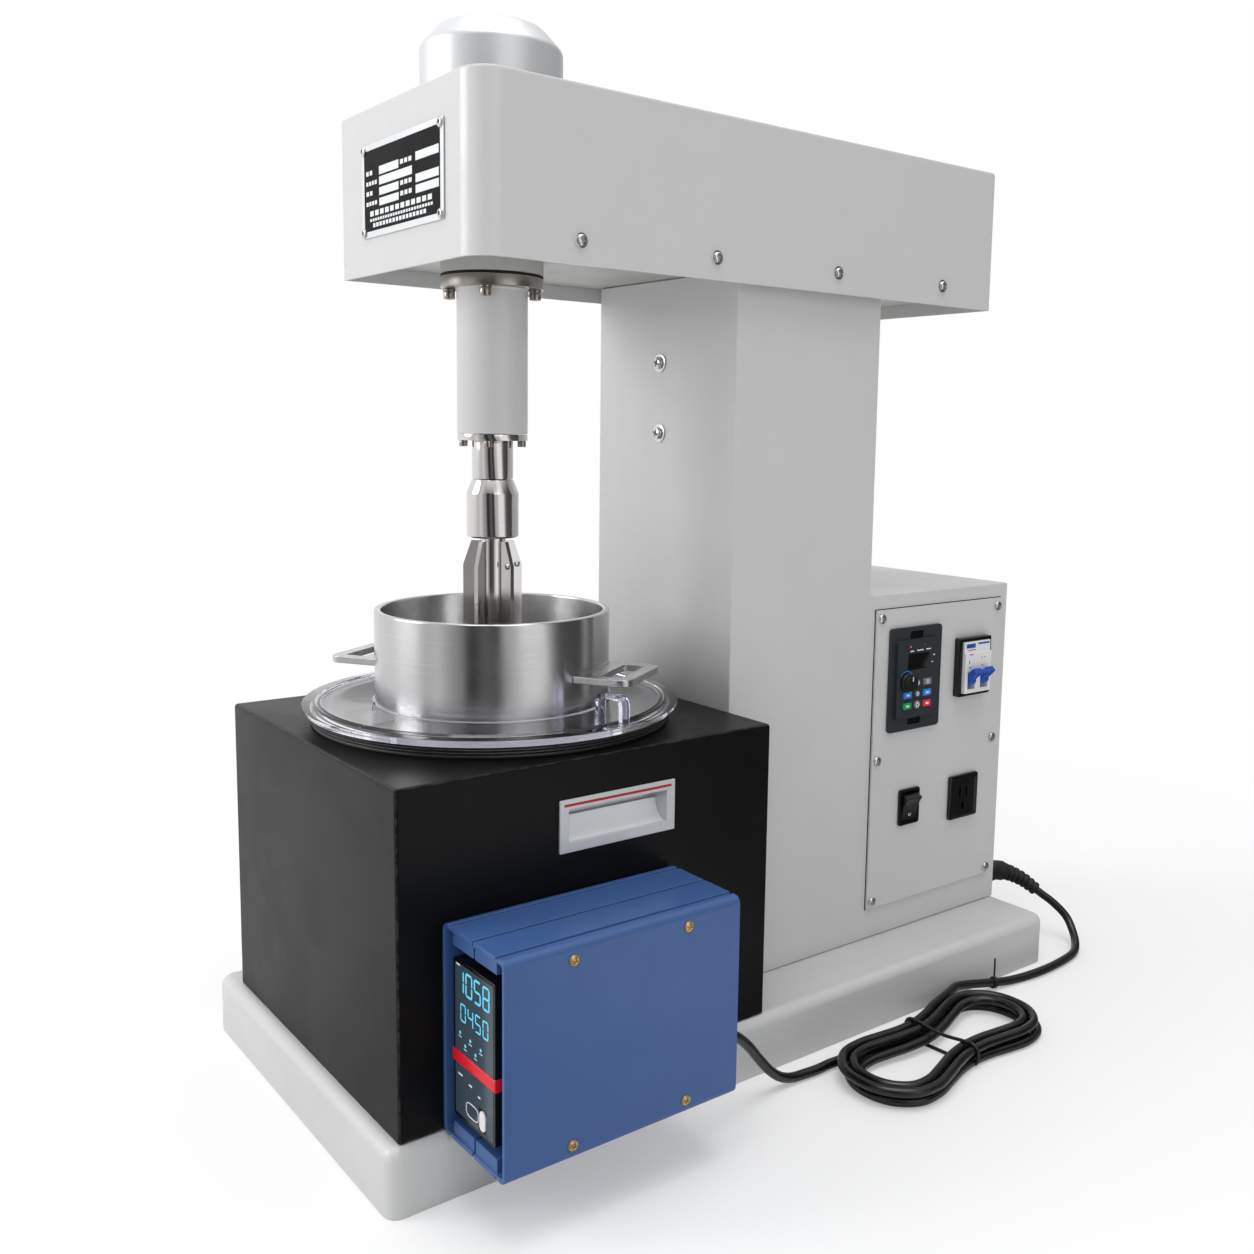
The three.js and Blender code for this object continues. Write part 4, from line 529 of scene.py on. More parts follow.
def skin_material(name, base, roughness, fineness, depth, smudge=0.06, patch=0.05, **sockets):
    """Paint or moulded plastic: a fine skin in the normal, smudges in colour and roughness."""
    made, tree, shader, coordinates = material(name, base, roughness, **sockets)
    skin = grouped(tree, FINE_SKIN, Vector=coordinates, Fineness=fineness)
    feed(shader["Base Color"], mixed(tree, skin["Smudge"], base, shaded(base, 1 - patch)))
    feed(shader["Roughness"],
         ramped(tree, skin["Smudge"], 0.0, 1.0, roughness - smudge, roughness + smudge))
    bumped(tree, shader, skin["Height"], depth)
    return made


def turned_material(name, base, roughness, depth=0.004 * MM, fineness=900.0, patch=0.12):
    """Metal turned or spun about the spindle's axis, with its shine drawn out along the turn."""
    made, tree, shader, coordinates = material(
        name, base, roughness, 1.0, Anisotropic=0.75, Anisotropic_Rotation=0.25)
    centred = add(tree, "ShaderNodeMapping", {
        "Vector": coordinates, "Location": (-AXIS[0], -AXIS[1], 0.0)}).outputs[0]
    marks = grouped(tree, TURNING_MARKS, Vector=centred, Fineness=fineness)
    streaks = mixed(tree, marks["Streak"], base, shaded(base, 1 - patch))
    feed(shader["Base Color"], mixed(tree, ramped(tree, marks["Height"], 0.35, 0.65), streaks,
                                     shaded(base, 1 - patch / 2)))
    feed(shader["Roughness"],
         ramped(tree, marks["Streak"], 0.0, 1.0, roughness * 0.9, roughness * 1.12))
    bumped(tree, shader, marks["Height"], depth)
    return made


def drawn_material(name, base, roughness, stretch, metallic=1.0):
    """Metal brushed or rolled straight."""
    made, tree, shader, coordinates = material(name, base, roughness, metallic)
    marks = grouped(tree, DRAWN_GRAIN, Vector=coordinates, Stretch=stretch)
    feed(shader["Base Color"], mixed(tree, marks["Streak"], base, shaded(base, 0.9)))
    feed(shader["Roughness"],
         ramped(tree, marks["Height"], 0.3, 0.7, roughness * 0.8, roughness * 1.2))
    bumped(tree, shader, marks["Height"], 0.004 * MM)
    return made


def worn_paint_material(name, base, worn, roughness, low, high, width):
    """Powder coat over sheet steel, worn to a lighter tone along the edges of its box."""
    made, tree, shader, coordinates = material(name, base, roughness, Specular_IOR_Level=0.15)
    skin = grouped(tree, FINE_SKIN, Vector=coordinates, Fineness=900.0)
    wear = grouped(tree, EDGE_WEAR, Vector=coordinates, Low=tuple(low), High=tuple(high),
                   Width=width)
    patched = mixed(tree, skin["Smudge"], base, shaded(base, 1.3))
    feed(shader["Base Color"], mixed(tree, wear["Mask"], patched, worn))
    feed(shader["Roughness"],
         ramped(tree, skin["Smudge"], 0.0, 1.0, roughness - 0.02, roughness + 0.03))
    bumped(tree, shader, skin["Height"], 0.02 * MM)
    return made


def clear_material(name, tint):
    """Clear acrylic with a very fine waviness."""
    made, tree, shader, coordinates = material(
        name, tint, 0.03, IOR=1.49, Transmission_Weight=1.0)
    bumped(tree, shader, grouped(tree, FINE_SKIN, Vector=coordinates, Fineness=60.0)["Height"],
           0.01 * MM)
    return made


def glowing_material(name, tone, strength):
    """A lit segment or lamp: its tone is both its surface and its light."""
    made, tree, shader, coordinates = material(
        name, tone, 0.4, Emission_Color=tone, Emission_Strength=strength)
    skin = grouped(tree, FINE_SKIN, Vector=coordinates, Fineness=700.0, Smudge_Scale=300.0)
    feed(shader["Emission Color"], mixed(tree, skin["Smudge"], tone, shaded(tone, 0.85)))
    return made


ENAMEL = skin_material("enamel", colour(202, 203, 202), 0.36, 520.0, 0.05 * MM, 0.05, 0.03,
                       Coat_Weight=0.15, Coat_Roughness=0.2)
ENAMEL_UNDER = skin_material("enamel_under", colour(178, 179, 176), 0.45, 420.0, 0.05 * MM)
BLACK_PAINT = worn_paint_material("black_paint", colour(12, 12, 13), colour(80, 80, 82), 0.36,
                                  bath_low, bath_high, 1.6 * MM)
SPUN_STEEL = turned_material("spun_steel", colour(205, 205, 206), 0.24)
BRUSHED_POT = turned_material("brushed_pot", colour(206, 205, 206), 0.24, 0.004 * MM, 1300.0, 0.1)
POLISHED = turned_material("polished_steel", colour(222, 219, 218), 0.12, 0.002 * MM, 700.0, 0.06)
FLANGE_STEEL = turned_material("flange_steel", colour(182, 176, 168), 0.3)
PLATE_STEEL = drawn_material("plate_steel", colour(204, 204, 205), 0.26, (60.0, 60.0, 1800.0))
BOLT_STEEL = drawn_material("bolt_steel", colour(176, 168, 160), 0.24, (500.0, 500.0, 90.0))
SCREW_STEEL = drawn_material("screw_steel", colour(218, 218, 219), 0.18, (400.0, 400.0, 400.0))
BRASS = drawn_material("brass", colour(214, 180, 118), 0.26, (400.0, 400.0, 400.0), 0.65)
COPPER = drawn_material("heater_sheath", colour(168, 116, 84), 0.4, (300.0, 300.0, 300.0))
SATIN_SILVER = skin_material("satin_silver", colour(214, 216, 219), 0.36, 700.0, 0.02 * MM,
                             0.04, 0.03, Metallic=0.45)
PULL_METAL = skin_material("pull_silver", colour(206, 208, 211), 0.34, 900.0, 0.02 * MM,
                           0.04, 0.03, Metallic=0.3)
# The pull's hollow floor: the pull's silver painted much lighter and not metallic, as painted light
# falling on it from above
SCOOP_PAINTED_LIGHT = skin_material("scoop_silver_painted_light", colour(240, 242, 244), 0.34, 900.0, 0.02 * MM,
                             0.04, 0.02)
DARK_STEEL = skin_material("dark_castings", colour(74, 75, 78), 0.5, 500.0, 0.05 * MM,
                           Metallic=0.6)
RUBBER = skin_material("rubber", colour(16, 16, 17), 0.5, 700.0, 0.02 * MM)
GASKET = skin_material("gasket", colour(18, 18, 19), 0.7, 500.0, 0.03 * MM)
CORD_SHEATH = skin_material("cord_sheath", colour(13, 13, 14), 0.3, 260.0, 0.03 * MM, 0.08)
CLEAR = clear_material("clear_acrylic", colour(246, 247, 255))
CLEAR_EDGE = clear_material("clear_acrylic_edge", colour(222, 224, 244))
BLUE = skin_material("blue_moulding", colour(60, 92, 146), 0.4, 1100.0, 0.04 * MM, 0.05, 0.05,
                     Specular_IOR_Level=0.3, Coat_Weight=0.25, Coat_Roughness=0.12)
# The case panels' blue: the moulding blue a shade darker, as painted shade in the panels' recess,
# and rougher without a coat
BLUE_PAINTED_SHADE = skin_material("blue_panel_painted_shade", colour(58, 88, 140), 0.44, 1100.0, 0.04 * MM, 0.05, 0.05,
                          Specular_IOR_Level=0.3)
BLACK_GLOSS = skin_material("black_moulding", colour(10, 10, 11), 0.22, 500.0, 0.008 * MM)
BLACK_SATIN = skin_material("black_satin", colour(22, 22, 23), 0.38, 900.0, 0.02 * MM)
SLATE = skin_material("slate_moulding", colour(40, 47, 52), 0.48, 1100.0, 0.03 * MM)
LCD = skin_material("display_glass", colour(62, 76, 88), 0.14, 400.0, 0.004 * MM, 0.04, 0.12)
DISPLAY_DARK = skin_material("display_window", colour(8, 8, 9), 0.1, 300.0, 0.003 * MM, 0.03)
WHITE = skin_material("white_moulding", colour(228, 228, 230), 0.34, 900.0, 0.01 * MM)
WHITE_INK = skin_material("white_ink", colour(226, 228, 230), 0.5, 900.0, 0.005 * MM)
GREY_KEY = skin_material("grey_key", colour(112, 121, 128), 0.42, 900.0, 0.02 * MM)
BLUE_KEY = skin_material("blue_key", colour(30, 134, 230), 0.32, 900.0, 0.01 * MM)
TOGGLE_BLUE = skin_material("toggle_blue", colour(18, 74, 176), 0.3, 900.0, 0.01 * MM)
GREEN_KEY = skin_material("green_key", colour(20, 158, 84), 0.32, 900.0, 0.01 * MM)
RED_KEY = skin_material("red_key", colour(234, 40, 56), 0.32, 900.0, 0.01 * MM)
RED_BAND = skin_material("red_band", colour(214, 22, 42), 0.26, 900.0, 0.01 * MM)
RED_LINE = skin_material("red_line", colour(178, 10, 16), 0.4, 900.0, 0.01 * MM)
PLATE_BLACK = skin_material("nameplate_field", colour(10, 10, 11), 0.4, 900.0, 0.01 * MM,
                            Specular_IOR_Level=0.06)
CYAN_LIGHT = glowing_material("cyan_segments", colour(86, 186, 216), 0.55)
RED_LIGHT = glowing_material("red_lamp", colour(206, 84, 70), 0.5)
DIM_LIGHT = glowing_material("unlit_lamp", colour(96, 84, 72), 0.05)

# Each CAD node that shows as it is: its finish, its eased edge in millimetres, the edge's parts
DRESSED = {
    "base": (ENAMEL, 0.6, 2), "column_housing": (ENAMEL, 1.2, 3), "arm_cover": (ENAMEL, 0.5, 2),
    "arm_bed": (ENAMEL_UNDER, 0.4, 2), "control_panel": (ENAMEL, 0.3, 2),
    "nameplate": (SATIN_SILVER, 0.3, 2), "flange_gasket": (GASKET, 0.2, 2),
    "stirrer": (POLISHED, 0.35, 3), "upper_bearing": (SPUN_STEEL, 0.3, 2),
    "lower_bearing": (SPUN_STEEL, 0.3, 2), "driven_pulley": (DARK_STEEL, 0.4, 2),
    "drive_pulley": (DARK_STEEL, 0.4, 2), "drive_motor": (DARK_STEEL, 0.4, 2),
    "motor_bracket": (DARK_STEEL, 0.4, 2), "motor_shaft": (SPUN_STEEL, 0.4, 2),
    "drive_belt": (RUBBER, 0.3, 2), "bath_housing": (BLACK_PAINT, 0.5, 2),
    "bath_tank": (SPUN_STEEL, 0.3, 2), "heater_ring": (COPPER, 0, 2),
    "pot_stand": (PLATE_STEEL, 0.3, 2), "pull_handle": (PULL_METAL, 0.35, 2),
    "pot_handle_right": (PLATE_STEEL, 0.7, 3), "pot_handle_left": (PLATE_STEEL, 0.7, 3),
    "case_inner_shell": (BLUE, 0.5, 2), "case_outer_shell": (BLUE, 0.5, 2),
    "case_front_panel": (BLUE_PAINTED_SHADE, 0.3, 2), "case_rear_panel": (BLUE_PAINTED_SHADE, 0.3, 2),
    "controller_face": (BLACK_GLOSS, 0.5, 3), "controller_body": (BLACK_SATIN, 0.4, 2),
    "controller_key": (WHITE, 0.4, 3), "drive_bezel": (SLATE, 0.5, 3),
    "drive_unit": (SLATE, 0.4, 2), "key_run": (GREEN_KEY, 0.5, 3), "key_stop": (RED_KEY, 0.5, 3),
    "key_down": (BLUE_KEY, 0.5, 3), "key_up": (BLUE_KEY, 0.5, 3), "key_mode": (GREY_KEY, 0.5, 3),
    "key_shift": (GREY_KEY, 0.5, 3), "key_enter": (GREY_KEY, 0.5, 3),
    "key_menu": (GREY_KEY, 0.5, 3), "breaker_body": (WHITE, 0.4, 3),
    "breaker_toggle": (TOGGLE_BLUE, 0.6, 3), "rocker_frame": (BLACK_GLOSS, 0.5, 3),
    "rocker_switch": (BLACK_GLOSS, 0.5, 3), "socket_outlet": (BLACK_GLOSS, 0.5, 3),
}
WELD = 0.003 * MM
FLAT_WITHIN = math.radians(0.6)
SHARP_PAST = math.radians(40)
FLATS_FIRST = 100


def dress(node, finish, edge, parts):
    """A CAD node with its facets joined, its sharp edges eased, its flats kept flat, and its
    material."""
    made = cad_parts[node]
    made.data.materials.clear()
    made.data.materials.append(finish)
    made.data.polygons.foreach_set("use_smooth", np.ones(len(made.data.polygons), bool))
    weld = made.modifiers.new("weld", "WELD")
    weld.merge_threshold = WELD
    flats = made.modifiers.new("flats", "DECIMATE")
    flats.decimate_type = "DISSOLVE"
    flats.angle_limit = FLAT_WITHIN
    if edge:
        bevel = made.modifiers.new("edges", "BEVEL")
        bevel.width = edge * MM
        bevel.segments = parts
        bevel.limit_method = "ANGLE"
        bevel.angle_limit = SHARP_PAST
    normals = made.modifiers.new("normals", "WEIGHTED_NORMAL")
    normals.weight = FLATS_FIRST


for dressed_node, look in DRESSED.items():
    dress(dressed_node, *look)

# Cord: one lead from the controller case, through the tied hank, to the cabinet
CORD_DIAMETER = 7.0 * MM
CORD_SEAT = 0.5 * MM
CORD_CLEARS = 0.1 * MM
CORD_SPACING = 2.5 * MM
CORD_SIDES = 20
HANK_PITCH = 8.3 * MM
HANK_LOOPS = 4
HANK_STEPS = 24
HANK_HALF_LENGTH = 82 * MM
HANK_HALF_SPREAD = 50 * MM
HANK_WAIST_SHARE = 0.75
HANK_BESIDE_BASE = 58 * MM
HANK_BEHIND_COLUMN_FRONT = 122 * MM
HANK_TURN = math.radians(-84)
HANK_LEAD_WIDTHS = (3, 2, 1)
# Places from the cord's exit, from the base's rear right corner, and from the gland
CORD_FALL = np.array([[0, 0, 0], [0, 10, -0.2], [-1, 22, -4.6], [-3.5, 36, -16], [-6, 50, -32],
                      [-7.5, 62, -45], [-8.2, 73, -53.4], [-8.4, 84, -57.5]]) * MM
CORD_ALONG_FLOOR = np.array([[-8, 96], [-7, 108]]) * MM
SUPPLY_FALL = np.array([[-16, 56, 22], [-5, 51.5, 12], [4.5, 42, 6]]) * MM
SUPPLY_ALONG_FLOOR = np.array([[11.5, 29], [16.5, 4], [18, -30], [14, -64]]) * MM
RELIEF_ROUTE = np.array([[0, 0, 0], [0, 12, 0], [5, 24, -3], [15, 34, -9], [27, 40, -17]]) * MM
RELIEF_LEAD_WIDTHS = (-0.6, 1, 2.4)
RELIEF_SPACING = 0.5 * MM
RELIEF_RADIUS = 8.9 * MM
RELIEF_NECK = 7.9 * MM
RELIEF_TIP = 5.8 * MM
RELIEF_COLLAR_SHARE = 0.36
RELIEF_ROUNDED_SHARE = 0.06
RELIEF_ROUNDING = 0.8 * MM
RELIEF_RIBS = 7
RELIEF_RIB_DEPTH = 1.0 * MM
TIE_RADIUS = 1.3 * MM
TIE_SEAT_SHARES = (0.7, 0.8)
TIE_BEND = 6 * MM
TIE_SAG_SHARE = 0.3
WAIST_REACH = 12 * MM
WIRE_RADIUS = 0.75 * MM
WIRE_PLACE_SHARE = 0.24
WIRE_TURNS = 2.2
WIRE_PITCH = 4.5 * MM
WIRE_RISE = 24 * MM
WIRE_RUN = 9 * MM
WIRE_LEAN = 2 * MM
hank_lengthwise = np.array([math.cos(HANK_TURN), math.sin(HANK_TURN), 0.0])
hank_crosswise = np.array([-math.sin(HANK_TURN), math.cos(HANK_TURN), 0.0])


def hank_points():
    """Loops drawn in at the waist, x = L cos t, y = S sin t (1 - w sin^2 t), carried outwards by
    a pitch for each loop away from the middle one, and up by a pitch past the middle."""
    widest = math.asin(math.sqrt(1 / (3 * HANK_WAIST_SHARE)))
    turns = HANK_LOOPS + (math.pi - 2 * widest) / (2 * math.pi)
    loops = np.linspace(0, turns, round(turns * HANK_STEPS) + 1)
    angle = -(widest + 2 * np.pi * loops)

    def core(t):
        """The middle loop at angles t, lengthwise and crosswise."""
        s = np.sin(t)
        return np.stack([HANK_HALF_LENGTH * np.cos(t),
                         HANK_HALF_SPREAD * s * (1 - HANK_WAIST_SHARE * s ** 2)], 1)

    along = core(angle + 0.001) - core(angle - 0.001)
    along /= np.linalg.norm(along, axis=1, keepdims=True)
    outwards = np.stack([along[:, 1], -along[:, 0]], 1)
    spot = core(angle) + outwards * (HANK_PITCH * np.abs(loops - turns / 2))[:, None]
    climb = np.clip((loops - turns / 2 + 0.25) / 0.5, 0, 1)
    middle = np.array([base_high[0] + HANK_BESIDE_BASE, column_low[1] + HANK_BEHIND_COLUMN_FRONT,
                       CORD_DIAMETER / 2 + CORD_SEAT])
    return (middle + spot[:, :1] * hank_lengthwise + spot[:, 1:] * hank_crosswise
            + (HANK_PITCH * climb)[:, None] * Z)


def on_floor(places):
    """Places (x, y) of the cord's centreline where it lies on the floor."""
    return np.column_stack([places, np.full(len(places), CORD_DIAMETER / 2 + CORD_SEAT)])


def leads(end, neighbour):
    """Places a few cord widths straight on from the end of the hank, farthest first."""
    way = unit((end - neighbour) * (1, 1, 0))
    return [end + way * CORD_DIAMETER * k for k in HANK_LEAD_WIDTHS]


def make_cord():
    """One lead from the controller case, through the hank, to the relief on the cabinet."""
    rear_low, rear_high = corners("case_rear_panel")
    cad_low, cad_high = corners("cord_case")
    exit_point = np.array([(rear_low[0] + rear_high[0]) / 2, cad_low[1],
                           cad_high[2] - CORD_DIAMETER / 2])
    hank = hank_points()
    to_hank = np.concatenate([exit_point + CORD_FALL, on_floor(exit_point[:2] + CORD_ALONG_FLOOR),
                              leads(hank[0], hank[1]), hank])
    gland_low, gland_high = corners("cord_gland")
    gland_middle = (gland_low + gland_high) / 2
    relief_start = np.array([gland_middle[0], gland_high[1], gland_middle[2]])
    relief = smooth_path(relief_start + RELIEF_ROUTE, RELIEF_SPACING)
    tip, tip_way = relief[-1], unit(relief[-1] - relief[-2])
    corner = base_high * (1, 1, 0)
    from_relief = np.concatenate([
        [tip + tip_way * CORD_DIAMETER * k for k in RELIEF_LEAD_WIDTHS], corner + SUPPLY_FALL,
        on_floor(corner[:2] + SUPPLY_ALONG_FLOOR), leads(hank[-1], hank[-2])])
    route = smooth_path(np.concatenate([to_hank, from_relief[::-1]]), CORD_SPACING)
    route[:, 2] = np.maximum(route[:, 2], CORD_DIAMETER / 2 + CORD_CLEARS)
    cord = swept("power_lead", route, circle(CORD_DIAMETER / 2, CORD_SIDES), Z, CORD_SHEATH,
                 slot="rubber", replaces=("cord_case", "cord_hank", "cord_supply"))
    after_hank = len(smooth_path(to_hank, CORD_SPACING))
    attached = [make_relief(relief), make_gland_nut(relief_start, gland_low, gland_high),
                make_hank_tie(hank), make_lead_wire(route[after_hank:])]


def make_relief(path):
    """A plain collar, a step, and a ribbed taper: r = r0 + (r1 - r0) u, less the depth of a
    rounded square wave of u."""
    t = np.linspace(0, 1, len(path))
    u = np.clip((t - RELIEF_COLLAR_SHARE) / (1 - RELIEF_COLLAR_SHARE), 0, 1)
    wave = np.clip(1.5 * np.cos(2 * np.pi * RELIEF_RIBS * u) - 0.4, 0, 1)
    tapered = RELIEF_NECK + (RELIEF_TIP - RELIEF_NECK) * u - RELIEF_RIB_DEPTH * wave
    collar = RELIEF_RADIUS - RELIEF_ROUNDING * np.clip(1 - t / RELIEF_ROUNDED_SHARE, 0, 1) ** 2
    radius = np.where(t < RELIEF_COLLAR_SHARE, collar, tapered)
    section = radius[:, None, None] * circle(1.0, sides=28)[None]
    return swept("relief_sleeve", path, section, Z, RUBBER, slot="rubber",
                 replaces=["strain_relief"])


def make_gland_nut(foot, low, high):
    """A six-sided nut with a sloping end: a turned profile of six sides."""
    depth = high[1] - low[1]
    radius = (high[2] - low[2]) / 2
    profile = softened([(0, 0), (radius * 0.98, 0), (radius, depth * 0.3), (radius, depth * 0.8),
                        (radius * 0.86, depth), (0, depth)], 0.5 * MM)
    return revolved("gland_nut", face_at(foot[0], low[1], foot[2], -X), (0, 0), profile,
                    BLACK_SATIN, segments=6, slot="black_plastic", replaces=["cord_gland"])


def make_hank_tie(hank):
    """A rubber tie round the waist of the hank: four quarter turns, whose upper side sags between
    the strands by a share of its rise, z = h (1 - s cos^2 (pi u / 2))."""
    middle = hank.mean(0)
    local = hank - middle
    near_waist = np.abs(local @ hank_lengthwise) < WAIST_REACH
    half = (np.abs(local[near_waist] @ hank_crosswise).max() + CORD_DIAMETER / 2
            + TIE_RADIUS * TIE_SEAT_SHARES[0])
    top = hank[:, 2].max() + CORD_DIAMETER / 2 + TIE_RADIUS * TIE_SEAT_SHARES[1]
    rise = (top - TIE_RADIUS) / 2
    corner = TIE_BEND * circle(1.0, sides=28)[:8]
    turned = [corner, corner[:, ::-1] * [-1, 1], -corner, corner[:, ::-1] * [1, -1]]
    right = np.array([half - TIE_BEND, rise - TIE_BEND])
    u = np.linspace(1, -1, 21)[1:-1]
    bridge = np.stack([u * right[0],
                       rise * (1 - TIE_SAG_SHARE * np.cos(np.pi * u / 2) ** 2)], 1)
    outline = np.concatenate([turned[0] + right, bridge, turned[1] + right * [-1, 1],
                              turned[2] - right, turned[3] + right * [1, -1]])
    centre = np.array([middle[0], middle[1], (top + TIE_RADIUS) / 2])
    loop = centre + outline[:, :1] * hank_crosswise + outline[:, 1:] * Z
    return swept("hank_tie", loop, circle(TIE_RADIUS, sides=12), hank_lengthwise, RUBBER,
                 closed=True, slot="rubber")


def make_lead_wire(supply):
    """A wire wound round the lead to the cabinet, whose end stands up."""
    k = int(WIRE_PLACE_SHARE * len(supply))
    spot, way = supply[k], unit(supply[k] - supply[k - 2])
    beside = unit(np.cross(way, Z))
    over = np.cross(beside, way)
    t = np.linspace(0, 1, 60)[:, None]
    turn = 2 * np.pi * WIRE_TURNS * t + np.pi
    reach = CORD_DIAMETER / 2 + WIRE_RADIUS * 0.8
    coil = (spot + reach * (np.cos(turn) * beside + np.sin(turn) * over)
            + (t - 0.5) * WIRE_PITCH * way)
    coil[:, 2] = np.maximum(coil[:, 2], WIRE_RADIUS * 1.02)
    u = np.linspace(0, 1, 30)[1:, None]
    stem = (coil[-1] + unit(coil[-1] - coil[-2]) * WIRE_RUN * u * (1 - u)
            + Z * WIRE_RISE * u ** 1.3 - WIRE_LEAN * beside * np.sin(np.pi * u))
    return swept("lead_wire", np.concatenate([coil, stem]), circle(WIRE_RADIUS, sides=8), way,
                 RUBBER, slot="rubber")


make_cord()

# Screws, bolts and washers
SCREW_STEPS = np.array([0, 0.12, 0.2, 0.28, 0.36, 0.42, 0.48, 0.56, 0.68, 0.8, 0.9, 0.97, 1, 1])
SCREW_RIM_SHARE = 0.45
CROSS_ARM_SHARE = 0.17
CROSS_REACH_SHARE = 0.56
CROSS_DEPTH_SHARE = 0.62


def cross_screws(name, face, places, radius, height, finish=SCREW_STEEL, turn=0.4, **riding):
    """Button heads: out = h (m + (1 - m) sqrt(1 - s^2)) at a share s of the radius, on an upright
    rim of m h, less a cross shaped recess."""
    places = np.asarray(places, float).reshape(-1, 2)
    t = np.linspace(0, 2 * np.pi, 40, endpoint=False)
    s = SCREW_STEPS[:, None]
    dome = height * (SCREW_RIM_SHARE + (1 - SCREW_RIM_SHARE) * np.sqrt(np.clip(1 - s ** 2, 0, 1)))
    dome[-1] = 0
    arms = np.abs(s * np.stack([np.sin(t + turn), np.cos(t + turn)])[:, None])
    recess = (arms.min(0) < CROSS_ARM_SHARE) & (arms.max(0) < CROSS_REACH_SHARE)
    dome = dome - np.where(recess, CROSS_DEPTH_SHARE * height, 0)
    points = on(face, places[:, 0, None, None] + radius * s * np.cos(t),
                places[:, 1, None, None] + radius * s * np.sin(t), dome)
    faces = grid_faces(len(s), len(t), len(places), ends=["last"])
    return piece(name, points, faces, finish, sharp=28.0, **riding)


def washered_screws(name, face, places, washer, screw):
    """Screws (radius, height) on flat washers (inner and outer radius, height); the name has room
    for the word for each."""
    inner, outer, thick = washer
    profile = softened(hoop(inner, outer, 0, thick), thick * 0.3, 3)
    profile = np.concatenate([profile[1:-1], profile[1:2]])
    revolved(name.format("washers"), face, places, profile, SCREW_STEEL, segments=40)
    cross_screws(name.format("screws"), moved(face, 0, 0, thick), places, *screw)


def socket_bolts(name, face, radius, height, ring):
    """Four cap screws on a ring: each a cylinder with an eased rim and a round well in its end."""
    t = BOLT_TURN + 2 * np.pi * np.arange(4) / 4
    places = ring * np.stack([np.cos(t), np.sin(t)], 1)
    profile = softened([(0, 0), (radius, 0), (radius, height), (radius * 0.5, height),
                        (radius * 0.5, height * 0.45), (0, height * 0.45)], 0.35 * MM, 3)
    revolved(name, face, places, profile, BOLT_STEEL, segments=28)


# Column and arm
COLUMN_SCREW_PLACES = np.array([(-4, 509), (-4, 456)]) * MM
COLUMN_WASHER = (2.5 * MM, 7 * MM, 1.2 * MM)
COLUMN_SCREW = (4.6 * MM, 3 * MM)
ARM_SCREW_PLACES = np.array([(-139.5, 575), (-29, 575), (87, 575), (203, 575)]) * MM
ARM_WASHER = (2 * MM, 4.8 * MM, 0.7 * MM)
ARM_SCREW = (3.6 * MM, 2.2 * MM)
arm_low, arm_high = corners("arm_cover")

# Two screws on the column's front hold the motor's bracket; four run along the lower edge of each
# side of the arm cover, into the bed's edge
washered_screws("column_{}", face_at(AXIS[0], column_low[1], 0, X), COLUMN_SCREW_PLACES,
                COLUMN_WASHER, COLUMN_SCREW)
washered_screws("arm_{}_right", face_at(arm_high[0], column_low[1], 0), ARM_SCREW_PLACES,
                ARM_WASHER, ARM_SCREW)
washered_screws("arm_{}_left", face_at(arm_low[0], column_low[1], 0, -Y),
                ARM_SCREW_PLACES * (-1, 1), ARM_WASHER, ARM_SCREW)

# Nameplate
NAMEPLATE_BORDER = 4.2 * MM
NAMEPLATE_BOXES = (
    # across, up, width, height as shares of the field
    (0.213, 0.666, 0.265, 0.10), (0.70, 0.680, 0.287, 0.10),
    (0.213, 0.540, 0.442, 0.10),
    (0.213, 0.413, 0.265, 0.095), (0.70, 0.425, 0.287, 0.097),
    (0.213, 0.287, 0.265, 0.092), (0.70, 0.299, 0.287, 0.097),
)
NAMEPLATE_BARS = (
    # left, right, up, height and pitch of plain blocks, as shares of the field
    (0.03, 0.18, 0.69, 0.055, 0.05), (0.03, 0.19, 0.565, 0.05, 0.04),
    (0.03, 0.18, 0.44, 0.055, 0.05), (0.03, 0.19, 0.315, 0.05, 0.04),
    (0.50, 0.67, 0.70, 0.055, 0.055), (0.50, 0.67, 0.45, 0.055, 0.055),
    (0.50, 0.67, 0.325, 0.055, 0.055), (0.08, 0.92, 0.18, 0.065, 0.07),
    (0.08, 0.92, 0.115, 0.035, 0.035), (0.12, 0.88, 0.04, 0.05, 0.045),
)
NAMEPLATE_BLOCK_SHARE = 0.72
RIVET = 3.3 * MM
RIVET_WELL = 0.42 * RIVET


